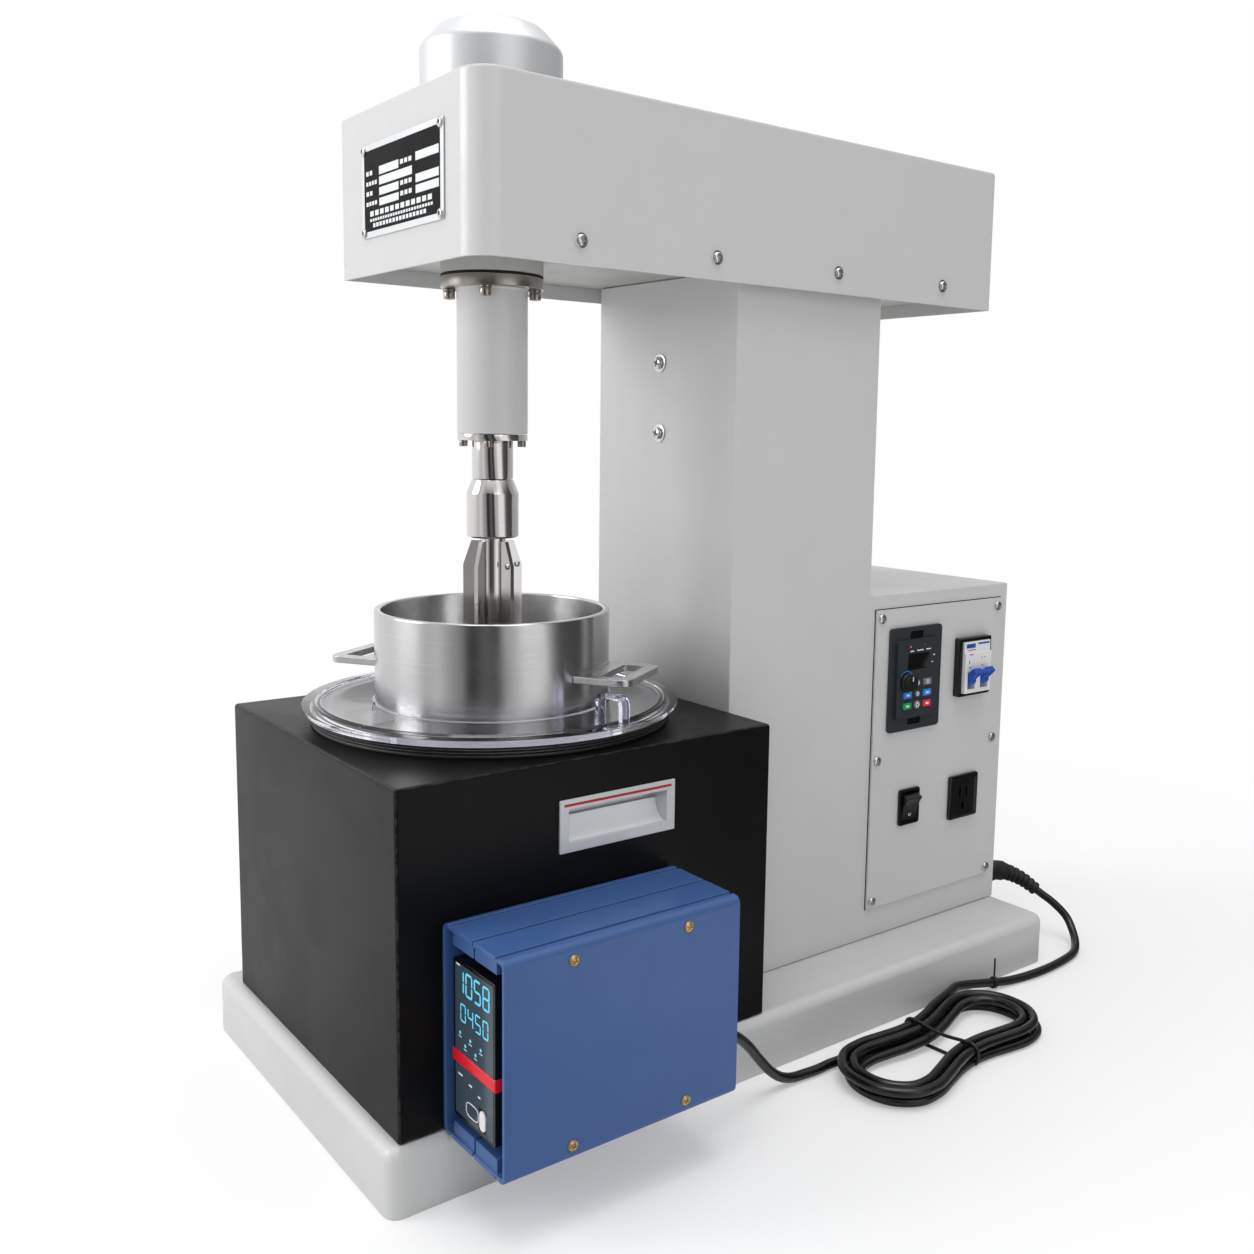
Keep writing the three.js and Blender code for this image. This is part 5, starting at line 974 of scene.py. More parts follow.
def make_nameplate():
    """A black field, blank white boxes, plain bars and four rivets on the silver plate, with painted
    shade in the rivets' holes.
    """
    face, width, height = side_of("nameplate", X)
    field = np.array([width, height]) - 2 * NAMEPLATE_BORDER
    slab("nameplate_field", face, (width / 2, height / 2), field,
         edge_levels(-0.2 * MM, 0.15 * MM, edge=0.05 * MM), 0.6 * MM, PLATE_BLACK)
    blocks = [(left + k * pitch, up, NAMEPLATE_BLOCK_SHARE * pitch, tall)
              for left, right, up, tall, pitch in NAMEPLATE_BARS
              for k in range(int((right - left) / pitch))]
    inner = moved(face, NAMEPLATE_BORDER, NAMEPLATE_BORDER, 0)
    for name, shares, top in (("nameplate_boxes", NAMEPLATE_BOXES, 0.2 * MM),
                              ("nameplate_bars", blocks, 0.18 * MM)):
        outlines = [rectangle(a, a + wide, b, b + tall) * field for a, b, wide, tall in shares]
        prisms(name, inner, outlines, 0.1 * MM, top, WHITE_INK)
    inset = RIVET + 0.3 * MM
    places = [(a, b) for a in (inset, width - inset) for b in (inset, height - inset)]
    profile = softened([(0, 0), (RIVET, 0), (RIVET, 0.8 * MM), (RIVET * 0.72, 1.5 * MM),
                        (RIVET_WELL, 1.6 * MM), (RIVET_WELL * 0.95, 1.0 * MM), (0, 1.0 * MM)],
                       0.25 * MM)
    revolved("nameplate_rivets", face, places, profile, SCREW_STEEL)
    # A black disc on each rivet's well floor: painted shade standing in for the dark of the rivet's
    # hole
    well = [(0, 0.95 * MM), (RIVET_WELL * 0.9, 0.95 * MM), (RIVET_WELL * 0.9, 1.15 * MM),
            (0, 1.15 * MM)]
    revolved("nameplate_rivet_hole_shade", face, places, well, PLATE_BLACK, segments=16)


make_nameplate()

# Spindle
CAP_TOP_SHARE = 0.69
CAP_SHOULDER_SHARE = 0.7
CAP_WALL = 2.2 * MM
FLANGE_THICKNESS = 7.5 * MM
FLANGE_BOLT_RING = 29.4 * MM
FLANGE_WASHER_HEIGHT = 1.4 * MM
PLATE_BOLT_RING = 20.2 * MM
PLATE_BORE = 15.2 * MM
BOLT_TURN = math.radians(38.4)
TUBE_BORE = 18.2 * MM
BEARING_SEAT = 21.1 * MM
BEARING_DEPTHS = (12.4 * MM, 12.6 * MM)
TUBE_STEP = 1.2 * MM
SHAFT_RADIUS = 10 * MM
SHAFT_FOOT_RADIUS = 9 * MM
SHAFT_HEAD_RADIUS = 8 * MM
SHAFT_HEAD = 34 * MM
SLEEVE_BORE = 9.3 * MM
SLEEVE_CONE = 9.6 * MM
SLEEVE_EDGE = 1.2 * MM
VANE_COUNT = 5
VANE_TURN = math.radians(9.4)
VANE_HALF_THICKNESS = 1.5 * MM
VANE_SCREW_PLACE = (17.5 * MM, 363 * MM)


def make_cap():
    """The cap's outside as one turned profile with a hemmed foot and a softened shoulder."""
    low, high = corners("spindle_cap")
    radius = (high[0] - low[0]) / 2
    top = radius * CAP_TOP_SHARE
    wall = CAP_WALL
    z0, z1 = low[2], high[2]
    shoulder = z0 + (z1 - z0) * CAP_SHOULDER_SHARE
    profile = softened([
        (0, z1 - wall), (top - wall, z1 - wall), (radius - wall, shoulder - wall / 2),
        (radius - wall, z0), (radius, z0), (radius, shoulder), (top + wall, z1 - 1.6 * MM),
        (top - wall, z1), (0, z1)], 2.4 * MM, 5)
    upright("cap_shell", profile, SATIN_SILVER, segments=128, slot="silver",
            replaces=["spindle_cap"])


def make_spindle_housing():
    """The tube with its bearing seats, its flange and bolts, and the end plate and its bolts."""
    low, high = corners("spindle_housing")
    ring_low, ring_high = corners("end_ring")
    flange = (high[0] - low[0]) / 2
    tube = (ring_high[0] - ring_low[0]) / 2
    foot = high[2] - FLANGE_THICKNESS
    seat, bore, neck = BEARING_SEAT, TUBE_BORE, tube + TUBE_STEP
    depth, chamfer = BEARING_DEPTHS
    profile = softened([
        (bore, low[2] + chamfer), (seat, low[2] + depth), (seat, low[2]), (tube, low[2]),
        (tube, foot - 1 * MM), (neck, foot), (neck, high[2]), (seat, high[2]),
        (seat, high[2] - depth), (bore, high[2] - chamfer), (bore, low[2] + chamfer)],
        0.6 * MM, 3)
    upright("housing_tube", profile, ENAMEL, segments=112, slot="enamel",
            replaces=["spindle_housing"])
    upright("housing_flange", softened(hoop(neck - 0.1 * MM, flange, foot, high[2]), 0.5 * MM, 3),
            FLANGE_STEEL, segments=112, slot="steel")
    below = face_at(AXIS[0], AXIS[1], foot, X, -Y)
    socket_bolts("flange_washers", below, 4.4 * MM, FLANGE_WASHER_HEIGHT, FLANGE_BOLT_RING)
    socket_bolts("flange_bolts", moved(below, 0, 0, FLANGE_WASHER_HEIGHT), 3.9 * MM, 5.4 * MM,
                 FLANGE_BOLT_RING)
    upright("end_plate", softened(hoop(PLATE_BORE, tube, ring_low[2], ring_high[2]), 0.5 * MM, 3),
            POLISHED, segments=112, slot="steel", replaces=["end_ring"])
    socket_bolts("end_plate_bolts", face_at(AXIS[0], AXIS[1], ring_low[2], X, -Y), 2.9 * MM,
                 4.2 * MM, PLATE_BOLT_RING)


def make_shaft():
    """Collar, journal and threaded end of the spindle, and the sleeve with its cone."""
    low, high = corners("spindle_shaft")
    sleeve_low, sleeve_high = corners("coupling_sleeve")
    collar = (high[0] - low[0]) / 2
    collar_foot = sleeve_high[2] + 0.3 * MM
    collar_top = corners("end_ring")[1][2]
    foot, body, head = SHAFT_FOOT_RADIUS, SHAFT_RADIUS, SHAFT_HEAD_RADIUS
    profile = softened([
        (0, low[2]), (foot, low[2]), (foot, collar_foot), (collar, collar_foot),
        (collar, collar_top), (body, collar_top), (body, high[2] - SHAFT_HEAD),
        (head, high[2] - SHAFT_HEAD), (head, high[2]), (0, high[2])], 0.5 * MM, 3)
    upright("spindle_bar", profile, POLISHED, segments=80, body="spindle", slot="steel",
            replaces=["spindle_shaft"])
    sleeve = (sleeve_high[0] - sleeve_low[0]) / 2
    profile = softened([
        (SLEEVE_BORE, sleeve_low[2]), (sleeve - SLEEVE_EDGE, sleeve_low[2]),
        (sleeve, sleeve_low[2] + SLEEVE_EDGE), (sleeve, sleeve_high[2] - SLEEVE_CONE),
        (collar, sleeve_high[2]), (SLEEVE_BORE, sleeve_high[2]), (SLEEVE_BORE, sleeve_low[2])],
        0.7 * MM, 4)
    upright("sleeve_body", profile, POLISHED, body="spindle", slot="steel",
            replaces=["coupling_sleeve"])


def make_vane_screws():
    """A small screw on the flat side of each vane, near its shoulder."""
    for k in range(VANE_COUNT):
        turn = VANE_TURN + 2 * math.pi * k / VANE_COUNT
        way = np.array([math.cos(turn), math.sin(turn), 0])
        face = moved(face_at(AXIS[0], AXIS[1], 0, way), 0, 0, VANE_HALF_THICKNESS)
        cross_screws(f"vane_screws_{k}", face, VANE_SCREW_PLACE, 2.1 * MM, 1.2 * MM,
                     body="spindle")


make_cap()
make_spindle_housing()
make_shaft()
make_vane_screws()

# Bath ring, pot, covers and pull
RING_BORE = 112 * MM
RING_GROOVE_SHARES = (0.3, 0.55, 0.8)
RING_GROOVE_HALF = 0.7 * MM
RING_GROOVE_DEPTH = 0.9 * MM
SEAT_GAP = 0.3 * MM
POT_WALL = 4.6 * MM
POT_FLOOR = 5 * MM
POT_CORNER = 6 * MM
COVER_BORE = 83.6 * MM
COVER_RADIUS = 131 * MM
COVER_THICKNESS = 5 * MM
COVER_REBATE = 2.4 * MM
COVER_RIBS = (121.0 * MM, 117.6 * MM)
COVER_RIB_HALF = 0.8 * MM
COVER_RIB_RISE = 1.2 * MM
COVER_HANDLE_START = 104 * MM
COVER_HANDLE_REACH = 25 * MM
COVER_HANDLE_HEIGHT = 19 * MM
COVER_HANDLE_BAR = 3.6 * MM
COVER_HANDLE_WIDTH = 8 * MM
COVER_HANDLE_CORNER = 7 * MM
COVER_TURN = math.radians(18.4)
COVER_HANDLE_TURN = math.radians(-7)
COVER_SPLIT = 0.15 * MM
PULL_LINE_DROP = 3.6 * MM
PULL_LINE_MARGIN = 6 * MM
PULL_LINE_WIDTH = 1.7 * MM
SCOOP_START = 1.0 * MM
SCOOP_FOOT = 6.4 * MM
SCOOP_DEPTH = 11.6 * MM
SCOOP_RISE = 13.5 * MM
SCOOP_MARGIN = 6.6 * MM
SCOOP_UNDER = 0.1 * MM


def make_rim_ring():
    """The rubber ring under the cover: a turned profile with three fine grooves outside."""
    low, high = corners("bath_ring")
    tank_low, tank_high = corners("bath_tank")
    outer = (high[0] - low[0]) / 2
    flange = (tank_high[0] - tank_low[0]) / 2 + SEAT_GAP
    step = tank_high[2] + SEAT_GAP
    grooves = []
    for share in RING_GROOVE_SHARES:
        middle = low[2] + share * (high[2] - low[2])
        grooves += [(outer, middle - RING_GROOVE_HALF), (outer - RING_GROOVE_DEPTH, middle),
                    (outer, middle + RING_GROOVE_HALF)]
    profile = [(RING_BORE, step), (flange, step), (flange, low[2]), (outer, low[2]), *grooves,
               (outer, high[2]), (RING_BORE, high[2]), (RING_BORE, step)]
    upright("rim_ring", softened(profile, 0.4 * MM, 3), RUBBER, segments=128, slot="rubber",
            replaces=["bath_ring"])


def make_pot():
    """The pot's wall, rolled rim and floor as one turned profile."""
    low, high = corners("leaching_pot")
    outer = (high[0] - low[0]) / 2
    inner = outer - POT_WALL
    z0, z1 = low[2], high[2]
    profile = softened([
        (0, z0), (outer - POT_CORNER, z0), (outer, z0 + POT_CORNER), (outer, z1), (inner, z1),
        (inner, z0 + 2 * POT_FLOOR), (inner - POT_CORNER, z0 + POT_FLOOR), (0, z0 + POT_FLOOR)],
        1.3 * MM, 5)
    upright("pot_wall", profile, BRUSHED_POT, segments=144, body="pot", slot="steel",
            replaces=["leaching_pot"])


def make_cover(name, node, turn):
    """Half a clear ring with two fine ribs: the profile is carried through half a turn, less the
    split, and closed by its own ends. A loop handle stands on it."""
    bottom = corners("bath_ring")[1][2] + SEAT_GAP
    top = bottom + COVER_THICKNESS
    outer, rebate = COVER_RADIUS, COVER_REBATE
    ribs = []
    for rib in COVER_RIBS:
        ribs += [(rib + 2 * COVER_RIB_HALF, top), (rib + COVER_RIB_HALF, top + COVER_RIB_RISE),
                 (rib, top)]
    profile = softened([
        (COVER_BORE, bottom), (outer - rebate, bottom), (outer - rebate, bottom + rebate),
        (outer, bottom + rebate), (outer, top), *ribs, (COVER_BORE, top),
        (COVER_BORE, bottom)], 0.5 * MM, 3)[:-1]
    t = np.linspace(-np.pi / 2, np.pi / 2, 97)[:, None]
    radius = profile[None, :, 0]
    angle = turn + t * (1 - COVER_SPLIT / radius / (np.pi / 2))
    face = face_at(AXIS[0], AXIS[1], 0, X, Y)
    points = on(face, radius * np.cos(angle), radius * np.sin(angle), profile[None, :, 1])
    faces = grid_faces(*points.shape[:2], ends=("first", "last"))
    piece(f"{name}_ring", points, faces, CLEAR, name, slot="acrylic", replaces=[node])
    make_cover_handle(name, turn + COVER_HANDLE_TURN, top)


def make_cover_handle(name, turn, top):
    """A clear bar bent into a loop: up, over and down, with two quarter turns."""
    way = np.array([math.cos(turn), math.sin(turn), 0])
    half = COVER_HANDLE_BAR / 2
    start = COVER_HANDLE_START + half
    end = COVER_HANDLE_START + COVER_HANDLE_REACH - half
    rise = top + COVER_HANDLE_HEIGHT - half
    bend = COVER_HANDLE_CORNER - half
    q = np.linspace(0, np.pi / 2, 9)
    outline = np.concatenate([
        [(start, top - 0.3 * MM)],
        np.stack([start + bend - bend * np.cos(q), rise - bend + bend * np.sin(q)], 1),
        np.stack([end - bend + bend * np.sin(q), rise - bend + bend * np.cos(q)], 1),
        [(end, top - 0.3 * MM)],
    ])
    path = AXIS * (1, 1, 0) + outline[:, :1] * way + outline[:, 1:] * Z
    section = round_outline(COVER_HANDLE_BAR, COVER_HANDLE_WIDTH, 0.8 * MM, steps=4)
    swept(f"{name}_handle", path, section, np.cross(way, Z), CLEAR_EDGE, body=name,
          slot="acrylic")


def make_pull_trim():
    """A red line under the pull's upper border, and its hollow floor, a quarter of an ellipse:
    in = d sin t, up = h (1 - cos t). The floor is painted lighter than the pull, as painted light
    from above."""
    face, width, height = side_of("pull_handle")
    slab("pull_line", face, (width / 2, height - PULL_LINE_DROP),
         (width - PULL_LINE_MARGIN, PULL_LINE_WIDTH),
         edge_levels(-0.25 * MM, 0.1 * MM, edge=0.05 * MM), 0.3 * MM, RED_LINE)
    t = np.linspace(0, np.pi / 2, 18)
    curve = np.stack([SCOOP_START + SCOOP_DEPTH * np.sin(t),
                      SCOOP_FOOT + SCOOP_RISE * (1 - np.cos(t))], 1)
    under = SCOOP_FOOT - SCOOP_UNDER
    outline = np.concatenate([curve, [(curve[-1, 0], under), (SCOOP_START, under)]])
    # The hollow floor takes the painted light finish: lighter than the pull, as light from above
    prisms("pull_scoop", face._replace(across=-X), [outline], SCOOP_MARGIN, width - SCOOP_MARGIN,
           SCOOP_PAINTED_LIGHT)


make_rim_ring()
make_pot()
make_cover("right_cover", "cover_right", COVER_TURN)
make_cover("left_cover", "cover_left", COVER_TURN + math.pi)
make_pull_trim()

# Controller case: its screws, and the controller's glass, digits, lamps and marks
CASE_SCREW_INSETS = (44.5 * MM, 41.0 * MM)
CASE_SCREW_RISE = 9.5 * MM
CONTROLLER_BORDER = 2.2 * MM
BAND_SHARES = (0.345, 0.425)
BAND_PROUD = 0.8 * MM
KEY_CLEARANCE = 1.2 * MM
KEY_SURROUND = (7 * MM, 4.2 * MM)
KEY_SURROUND_WIRE = 0.28 * MM
KEY_SURROUND_GAP = 0.6 * MM
KEY_SURROUND_SQUARENESS = 0.6
SEGMENTS = {"0": "abcdef", "1": "bc", "4": "fgbc", "5": "afgcd", "8": "abcdefg"}
SEGMENT_ENDS = {
    "a": ((0, 1), (1, 1)), "b": ((1, 1), (1, 0.5)), "c": ((1, 0.5), (1, 0)),
    "d": ((0, 0), (1, 0)), "e": ((0, 0.5), (0, 0)), "f": ((0, 1), (0, 0.5)),
    "g": ((0, 0.5), (1, 0.5)),
}
CONTROLLER_LAMPS = np.array([(8, 52.5), (20, 52), (32, 51.5), (14, 46.5), (26, 46)])
LAMP_TO_DASH = (0, -2.3)
DASH_SIZE = (3.6, 0.5)
CONTROLLER_MARKS = (
    # across, up, width and height in millimetres
    (6, 93, 4.5, 1.0), (8, 27, 5, 1.1), (20, 25, 3.5, 1.1), (30, 22.5, 2.6, 1.1),
)


def make_case_screws():
    """Four brass screws on the case's outer side."""
    face, length, height = side_of("case_outer_shell")
    places = [(a, b) for a in (CASE_SCREW_INSETS[0], length - CASE_SCREW_INSETS[1])
              for b in (CASE_SCREW_RISE, height - CASE_SCREW_RISE)]
    cross_screws("case_screws", face, places, 3.2 * MM, 1.7 * MM, BRASS)


def digit_outlines(text, left, foot, width, height, pitch, thick):
    """Six-cornered bars for each digit's lit segments, each drawn from its two end places, with
    all sizes in millimetres."""
    outlines = []
    for k, digit in enumerate(text):
        for segment in SEGMENTS[digit]:
            p, q = np.array(SEGMENT_ENDS[segment]) * (width, height) + (left + k * pitch, foot)
            way = unit(q - p)
            side = np.array([-way[1], way[0]]) * thick / 2
            p, q = p + way * thick * 0.55, q - way * thick * 0.55
            nib = way * thick * 0.45
            outlines.append([p - nib, p - side, q - side, q + nib, q + side, p + side])
    return np.array(outlines) * MM


def make_controller():
    """The controller's glass, digits, lamps, red band, lower panel and key surround."""
    face, width, height = side_of("controller_face", X)
    low, high = corners("controller_face")
    depth = high[1] - low[1]
    border = CONTROLLER_BORDER
    band_low, band_high = height * BAND_SHARES[0], height * BAND_SHARES[1]
    slab("controller_glass", face, (width / 2, (band_high + height - border) / 2),
         (width - 2 * border, height - border - band_high),
         edge_levels(-0.3 * MM, 0.12 * MM, edge=0.06 * MM), 0.8 * MM, LCD)
    key_low, key_high = [place - low for place in corners("controller_key")]
    hole = (key_low[0] - KEY_CLEARANCE, key_high[0] + KEY_CLEARANCE,
            key_low[2] - KEY_CLEARANCE, key_high[2] + KEY_CLEARANCE)
    prisms("controller_lower_glass", face,
           rim_outlines((border, width - border, border, band_low), hole),
           -0.3 * MM, 0.1 * MM, LCD)
    slab("controller_band", moved(face, 0, 0, -depth * 0.9), (width / 2, (band_low + band_high) / 2),
         (width + 2 * BAND_PROUD, band_high - band_low),
         edge_levels(0, depth * 0.9 + 0.7 * MM, edge=0.9 * MM, steps=4), 0.8 * MM, RED_BAND,
         slot="red_key")
    digits = [
        digit_outlines("1058", left=5.5, foot=77.5, width=6.6, height=13, pitch=9.8, thick=1.3),
        digit_outlines("0450", left=9, foot=60.5, width=5.4, height=10, pitch=8.6, thick=1.0)]
    prisms("controller_digits", face, np.concatenate(digits), 0.1 * MM, 0.18 * MM, CYAN_LIGHT)
    revolved("controller_lamps", face, CONTROLLER_LAMPS * MM,
             [(0, 0.1 * MM), (1.1 * MM, 0.1 * MM), (0.9 * MM, 0.25 * MM), (0, 0.25 * MM)],
             CYAN_LIGHT, segments=16)
    marks = [bar(*place, *DASH_SIZE) for place in CONTROLLER_LAMPS + LAMP_TO_DASH]
    marks += [bar(*mark) for mark in CONTROLLER_MARKS]
    prisms("controller_marks", face, marks, 0.1 * MM, 0.16 * MM, WHITE_INK)
    long, tall = KEY_SURROUND
    round_once = circle(1.0, 48)
    squared = np.sign(round_once) * np.abs(round_once) ** KEY_SURROUND_SQUARENESS
    path = on(face, hole[0] - KEY_SURROUND_GAP - long + long * squared[:, 0],
              (key_low[2] + key_high[2]) / 2 + tall * squared[:, 1], 0.12 * MM)
    swept("key_surround", path, circle(KEY_SURROUND_WIRE, 6), -Y, WHITE_INK, closed=True)


make_case_screws()
make_controller()

# Control panel: its screws and seam, the speed drive, breaker, rocker and outlet
PANEL_SCREW_PLACES = np.array([(a, b) for a in (5.4, 152) for b in (242, 125, 6)]) * MM
SEAM_PROUD = 0.65 * MM
SEAM_UNDER = 2.5 * MM
# Keys that have a sign, True where the key is coloured
MARKED_KEYS = {"run": True, "stop": True, "down": True, "up": True, "shift": False,
               "enter": False, "menu": False, "mode": False}
DRIVE_WINDOW_PLACE = (30.8 * MM, 57.8 * MM)
DRIVE_WINDOW_SIZE = (26.4 * MM, 13.4 * MM)
DRIVE_NOTCH_PLACES = ((31 * MM, 7.75 * MM), (31 * MM, 79.25 * MM))
DRIVE_NOTCH_SIZE = (15.8 * MM, 6.3 * MM)
DRIVE_BARS = (
    # across, up, width and height in millimetres
    (22.2, 66.6, 4.4, 0.9), (32.0, 66.8, 7.6, 0.9), (42.2, 66.9, 5.6, 0.9),
    (49.4, 61.4, 2.0, 1.0), (47.6, 55.6, 2.2, 0.7),
)
DRIVE_LAMPS = (("drive_lamp_lit", (20.4 * MM, 70.4 * MM), RED_LIGHT),
               ("drive_lamp_unlit", (37.6 * MM, 70.8 * MM), DIM_LIGHT))
DIAL_GAP = 1.4 * MM
DIAL_TURNS = (math.radians(40), math.radians(140))
KNOB_FLUTES = 18
KNOB_FLUTE_SHARE = 0.05
BREAKER_PROUD = 3.4 * MM  # The breaker's front in front of its surround
BREAKER_STEP = 1.6 * MM
BREAKER_OPENING = (34.6 * MM, 44.6 * MM)
BREAKER_FACE = (34 * MM, 44 * MM)
BREAKER_MARKS_DROP = 9 * MM
BREAKER_MARKS = (
    # Name, height, finish, slot, then bars as across, up, width and height in millimetres
    ("breaker_blue", 0.06, TOGGLE_BLUE, "blue_key", ((8.2, 5.6, 12, 3.6), (25, 7, 15, 1.5))),
    ("breaker_marks", 0.05, PLATE_BLACK, None,
     ((5, -8, 0.9, 3), (6, -12.6, 2.6, 0.7), (21, -5, 1, 1), (25, -5, 1, 1),
      (22, -11.6, 2, 0.6))),
    ("breaker_red", 0.05, RED_LINE, None, ((8, 2.4, 10, 0.6), (7, -1.6, 5, 0.8))),
)
OFF_MARK_DROP = 6.4 * MM
OFF_MARK_RADII = (1.0 * MM, 1.5 * MM)
# The rim's rings: inset and height in millimetres
SOCKET_RIM = ((0.2, -0.4), (0.2, 0.3), (1.2, 0.9), (3.0, 0.9), (4.2, 0.05), (4.2, -0.4))


def make_panel_edge():
    """Six screws, and the dark seam round the panel: a thin gasket under its edge, a little
    larger."""
    face, width, height = side_of("control_panel")
    low, high = corners("control_panel")
    cross_screws("panel_screws", face, PANEL_SCREW_PLACES, 4.0 * MM, 2.6 * MM, turn=0.9)
    proud, under = SEAM_PROUD, SEAM_UNDER
    prisms("panel_seam", moved(face, 0, 0, low[0] - high[0]),
           rim_outlines((-proud, width + proud, -proud, height + proud),
                        (under, width - under, under, height - under)),
           -0.28 * MM, -0.06 * MM, GASKET)


def make_key_marks():
    """Small pale signs on the keys: a dash on each coloured key, a ring on the others."""
    for key, coloured in MARKED_KEYS.items():
        face, width, height = side_of(f"key_{key}")
        face = moved(face, width / 2, height / 2, 0)
        name, body = f"key_{key}_mark", f"{key}_key"
        if coloured:
            slab(name, face, (0, 0), (width * 0.42, height * 0.3),
                 edge_levels(-0.1 * MM, 0.1 * MM, edge=0.05 * MM), height * 0.13, WHITE_INK,
                 body=body)
        else:
            radius = min(width, height) * 0.3
            revolved(name, face, (0, 0), hoop(radius * 0.6, radius, 0, 0.1 * MM), WHITE_INK,
                     body=body)


def make_drive_face():
    """The speed drive's display window, dark fill in its notches as painted shade, lamps, plain
    printed bars and dial line.
    """
    face = side_of("drive_bezel")[0]
    slab("drive_window", face, DRIVE_WINDOW_PLACE, DRIVE_WINDOW_SIZE,
         edge_levels(-0.5 * MM, 0.25 * MM, edge=0.12 * MM, steps=3), 1 * MM, DISPLAY_DARK)
    panel_foot = panel_front - face.origin[0]
    # A dark slab near the panel, deep in each notch of the bezel: painted shade for the notch's
    # depth
    for k, place in enumerate(DRIVE_NOTCH_PLACES):
        slab(f"drive_notch_painted_shade_{k}", face, place, DRIVE_NOTCH_SIZE,
             [(0, panel_foot + 0.4 * MM), (0, panel_foot + 1.1 * MM)], 1.3 * MM, DISPLAY_DARK)
    for name, place, light in DRIVE_LAMPS:
        revolved(name, face, place, [(0, 0), (0.9 * MM, 0), (0.6 * MM, 0.35 * MM), (0, 0.4 * MM)],
                 light, segments=16)
    prisms("drive_bars", face, [bar(*sizes) for sizes in DRIVE_BARS], 0.0, 0.08 * MM, WHITE_INK)
    knob, across, up = side_of("speed_knob")
    middle = moved(knob, across / 2, up / 2, 0).origin - face.origin
    t = np.linspace(*DIAL_TURNS, 24)
    radius = across / 2 + DIAL_GAP
    path = on(face, middle[1] + radius * np.cos(t), middle[2] + radius * np.sin(t), 0.05 * MM)
    swept("drive_scale", path, round_outline(0.7 * MM, 0.12 * MM, 0.04 * MM, steps=2), X, BLUE_KEY)


def make_knob():
    """The knob: r = R (1 - k max(0, cos n t)) round its skirt, a domed top and a pale pointer."""
    face, width, height = side_of("speed_knob")
    face = moved(face, width / 2, height / 2, 0)
    radius = width / 2
    skirt = corners("drive_bezel")[1][0] + 0.4 * MM - face.origin[0]
    t = np.linspace(0, 2 * np.pi, 180, endpoint=False)
    flute = 1 - KNOB_FLUTE_SHARE * np.clip(np.cos(KNOB_FLUTES * t), 0, 1)
    # Share of the radius, height, and 1 where the ring is fluted
    levels = np.array([
        (0.0, skirt, 0), (0.96, skirt, 0), (1.0, skirt * 0.9, 0), (1.0, skirt * 0.72, 0),
        (0.9, skirt * 0.6, 1), (0.88, skirt * 0.12, 1), (0.84, -0.1 * MM, 0), (0.74, 0, 0),
        (0.3, -0.25 * MM, 0), (0.0, -0.3 * MM, 0)])
    r = radius * levels[:, :1] * np.where(levels[:, 2:] > 0, flute[None], 1)
    points = on(face, r * np.cos(t), r * np.sin(t), levels[:, 1:2])
    piece("knob_cap", points, grid_faces(len(levels), len(t)), BLACK_SATIN, "knob",
          slot="black_plastic", replaces=["speed_knob"])
    slab("knob_pointer", face, (0, radius * 0.5), (0.9 * MM, radius * 0.55),
         edge_levels(-0.3 * MM, 0.06 * MM, edge=0.03 * MM), 0.3 * MM, WHITE_INK, body="knob",
         slot="white_plastic")


def framed(name, face, rings):
    """A black moulded frame carried through rings, each an outline and its height."""
    points = np.array([on(face, ring[:, 0], ring[:, 1], level) for ring, level in rings])
    faces = grid_faces(*points.shape[:2], round_rows=True)
    piece(name, points, faces, BLACK_GLOSS, slot="black_plastic")


def make_breaker_trim():
    """The breaker's black surround, its blue bars and its small plain marks."""
    front, width, height = side_of("breaker_body")
    sunk = panel_front + 0.3 * MM - front.origin[0]
    rise = -sunk - BREAKER_PROUD
    outer = round_outline(width + 0.6 * MM, height + 0.6 * MM, 1.2 * MM)
    inner = round_outline(*BREAKER_OPENING, 0.4 * MM)
    framed("breaker_surround", moved(front, width / 2, height / 2, sunk), [
        (outer, 0.0), (outer, rise - 0.5 * MM), (outer * [1 - 0.024, 1 - 0.02], rise),
        (inner, rise), (inner, 0.0)])
    spot = moved(front, (width - BREAKER_FACE[0]) / 2,
                 (height + BREAKER_FACE[1]) / 2 - BREAKER_MARKS_DROP, 0)
    for name, top, finish, slot, bars in BREAKER_MARKS:
        seat = moved(spot, 0, 0, -BREAKER_STEP) if slot else spot
        prisms(name, seat, [bar(*sizes) for sizes in bars], -0.1 * MM, top * MM, finish,
               slot=slot)


def make_rocker_mark():
    """A pale ring on the lower half of the rocker, its off sign."""
    face, width, height = side_of("rocker_frame")
    profile = hoop(*OFF_MARK_RADII, low=-0.5 * MM, high=0.12 * MM)
    revolved("rocker_off_mark", moved(face, width / 2, height / 2, 0.25 * MM),
             (0, -OFF_MARK_DROP), profile, WHITE_INK, segments=28, body="rocker",
             slot="white_plastic")


def make_socket_rim():
    """A raised rim round the outlet's face: rounded rectangles joined by sloping faces."""
    face, width, height = side_of("socket_outlet")
    rings = [(round_outline(width - 2 * inset * MM, height - 2 * inset * MM,
                            max(2.2 - inset * 0.3, 0.4) * MM), level * MM)
             for inset, level in SOCKET_RIM]
    framed("socket_rim", moved(face, width / 2, height / 2, 0), rings)


make_panel_edge()
make_key_marks()
make_drive_face()
make_knob()
make_breaker_trim()
make_rocker_mark()
make_socket_rim()

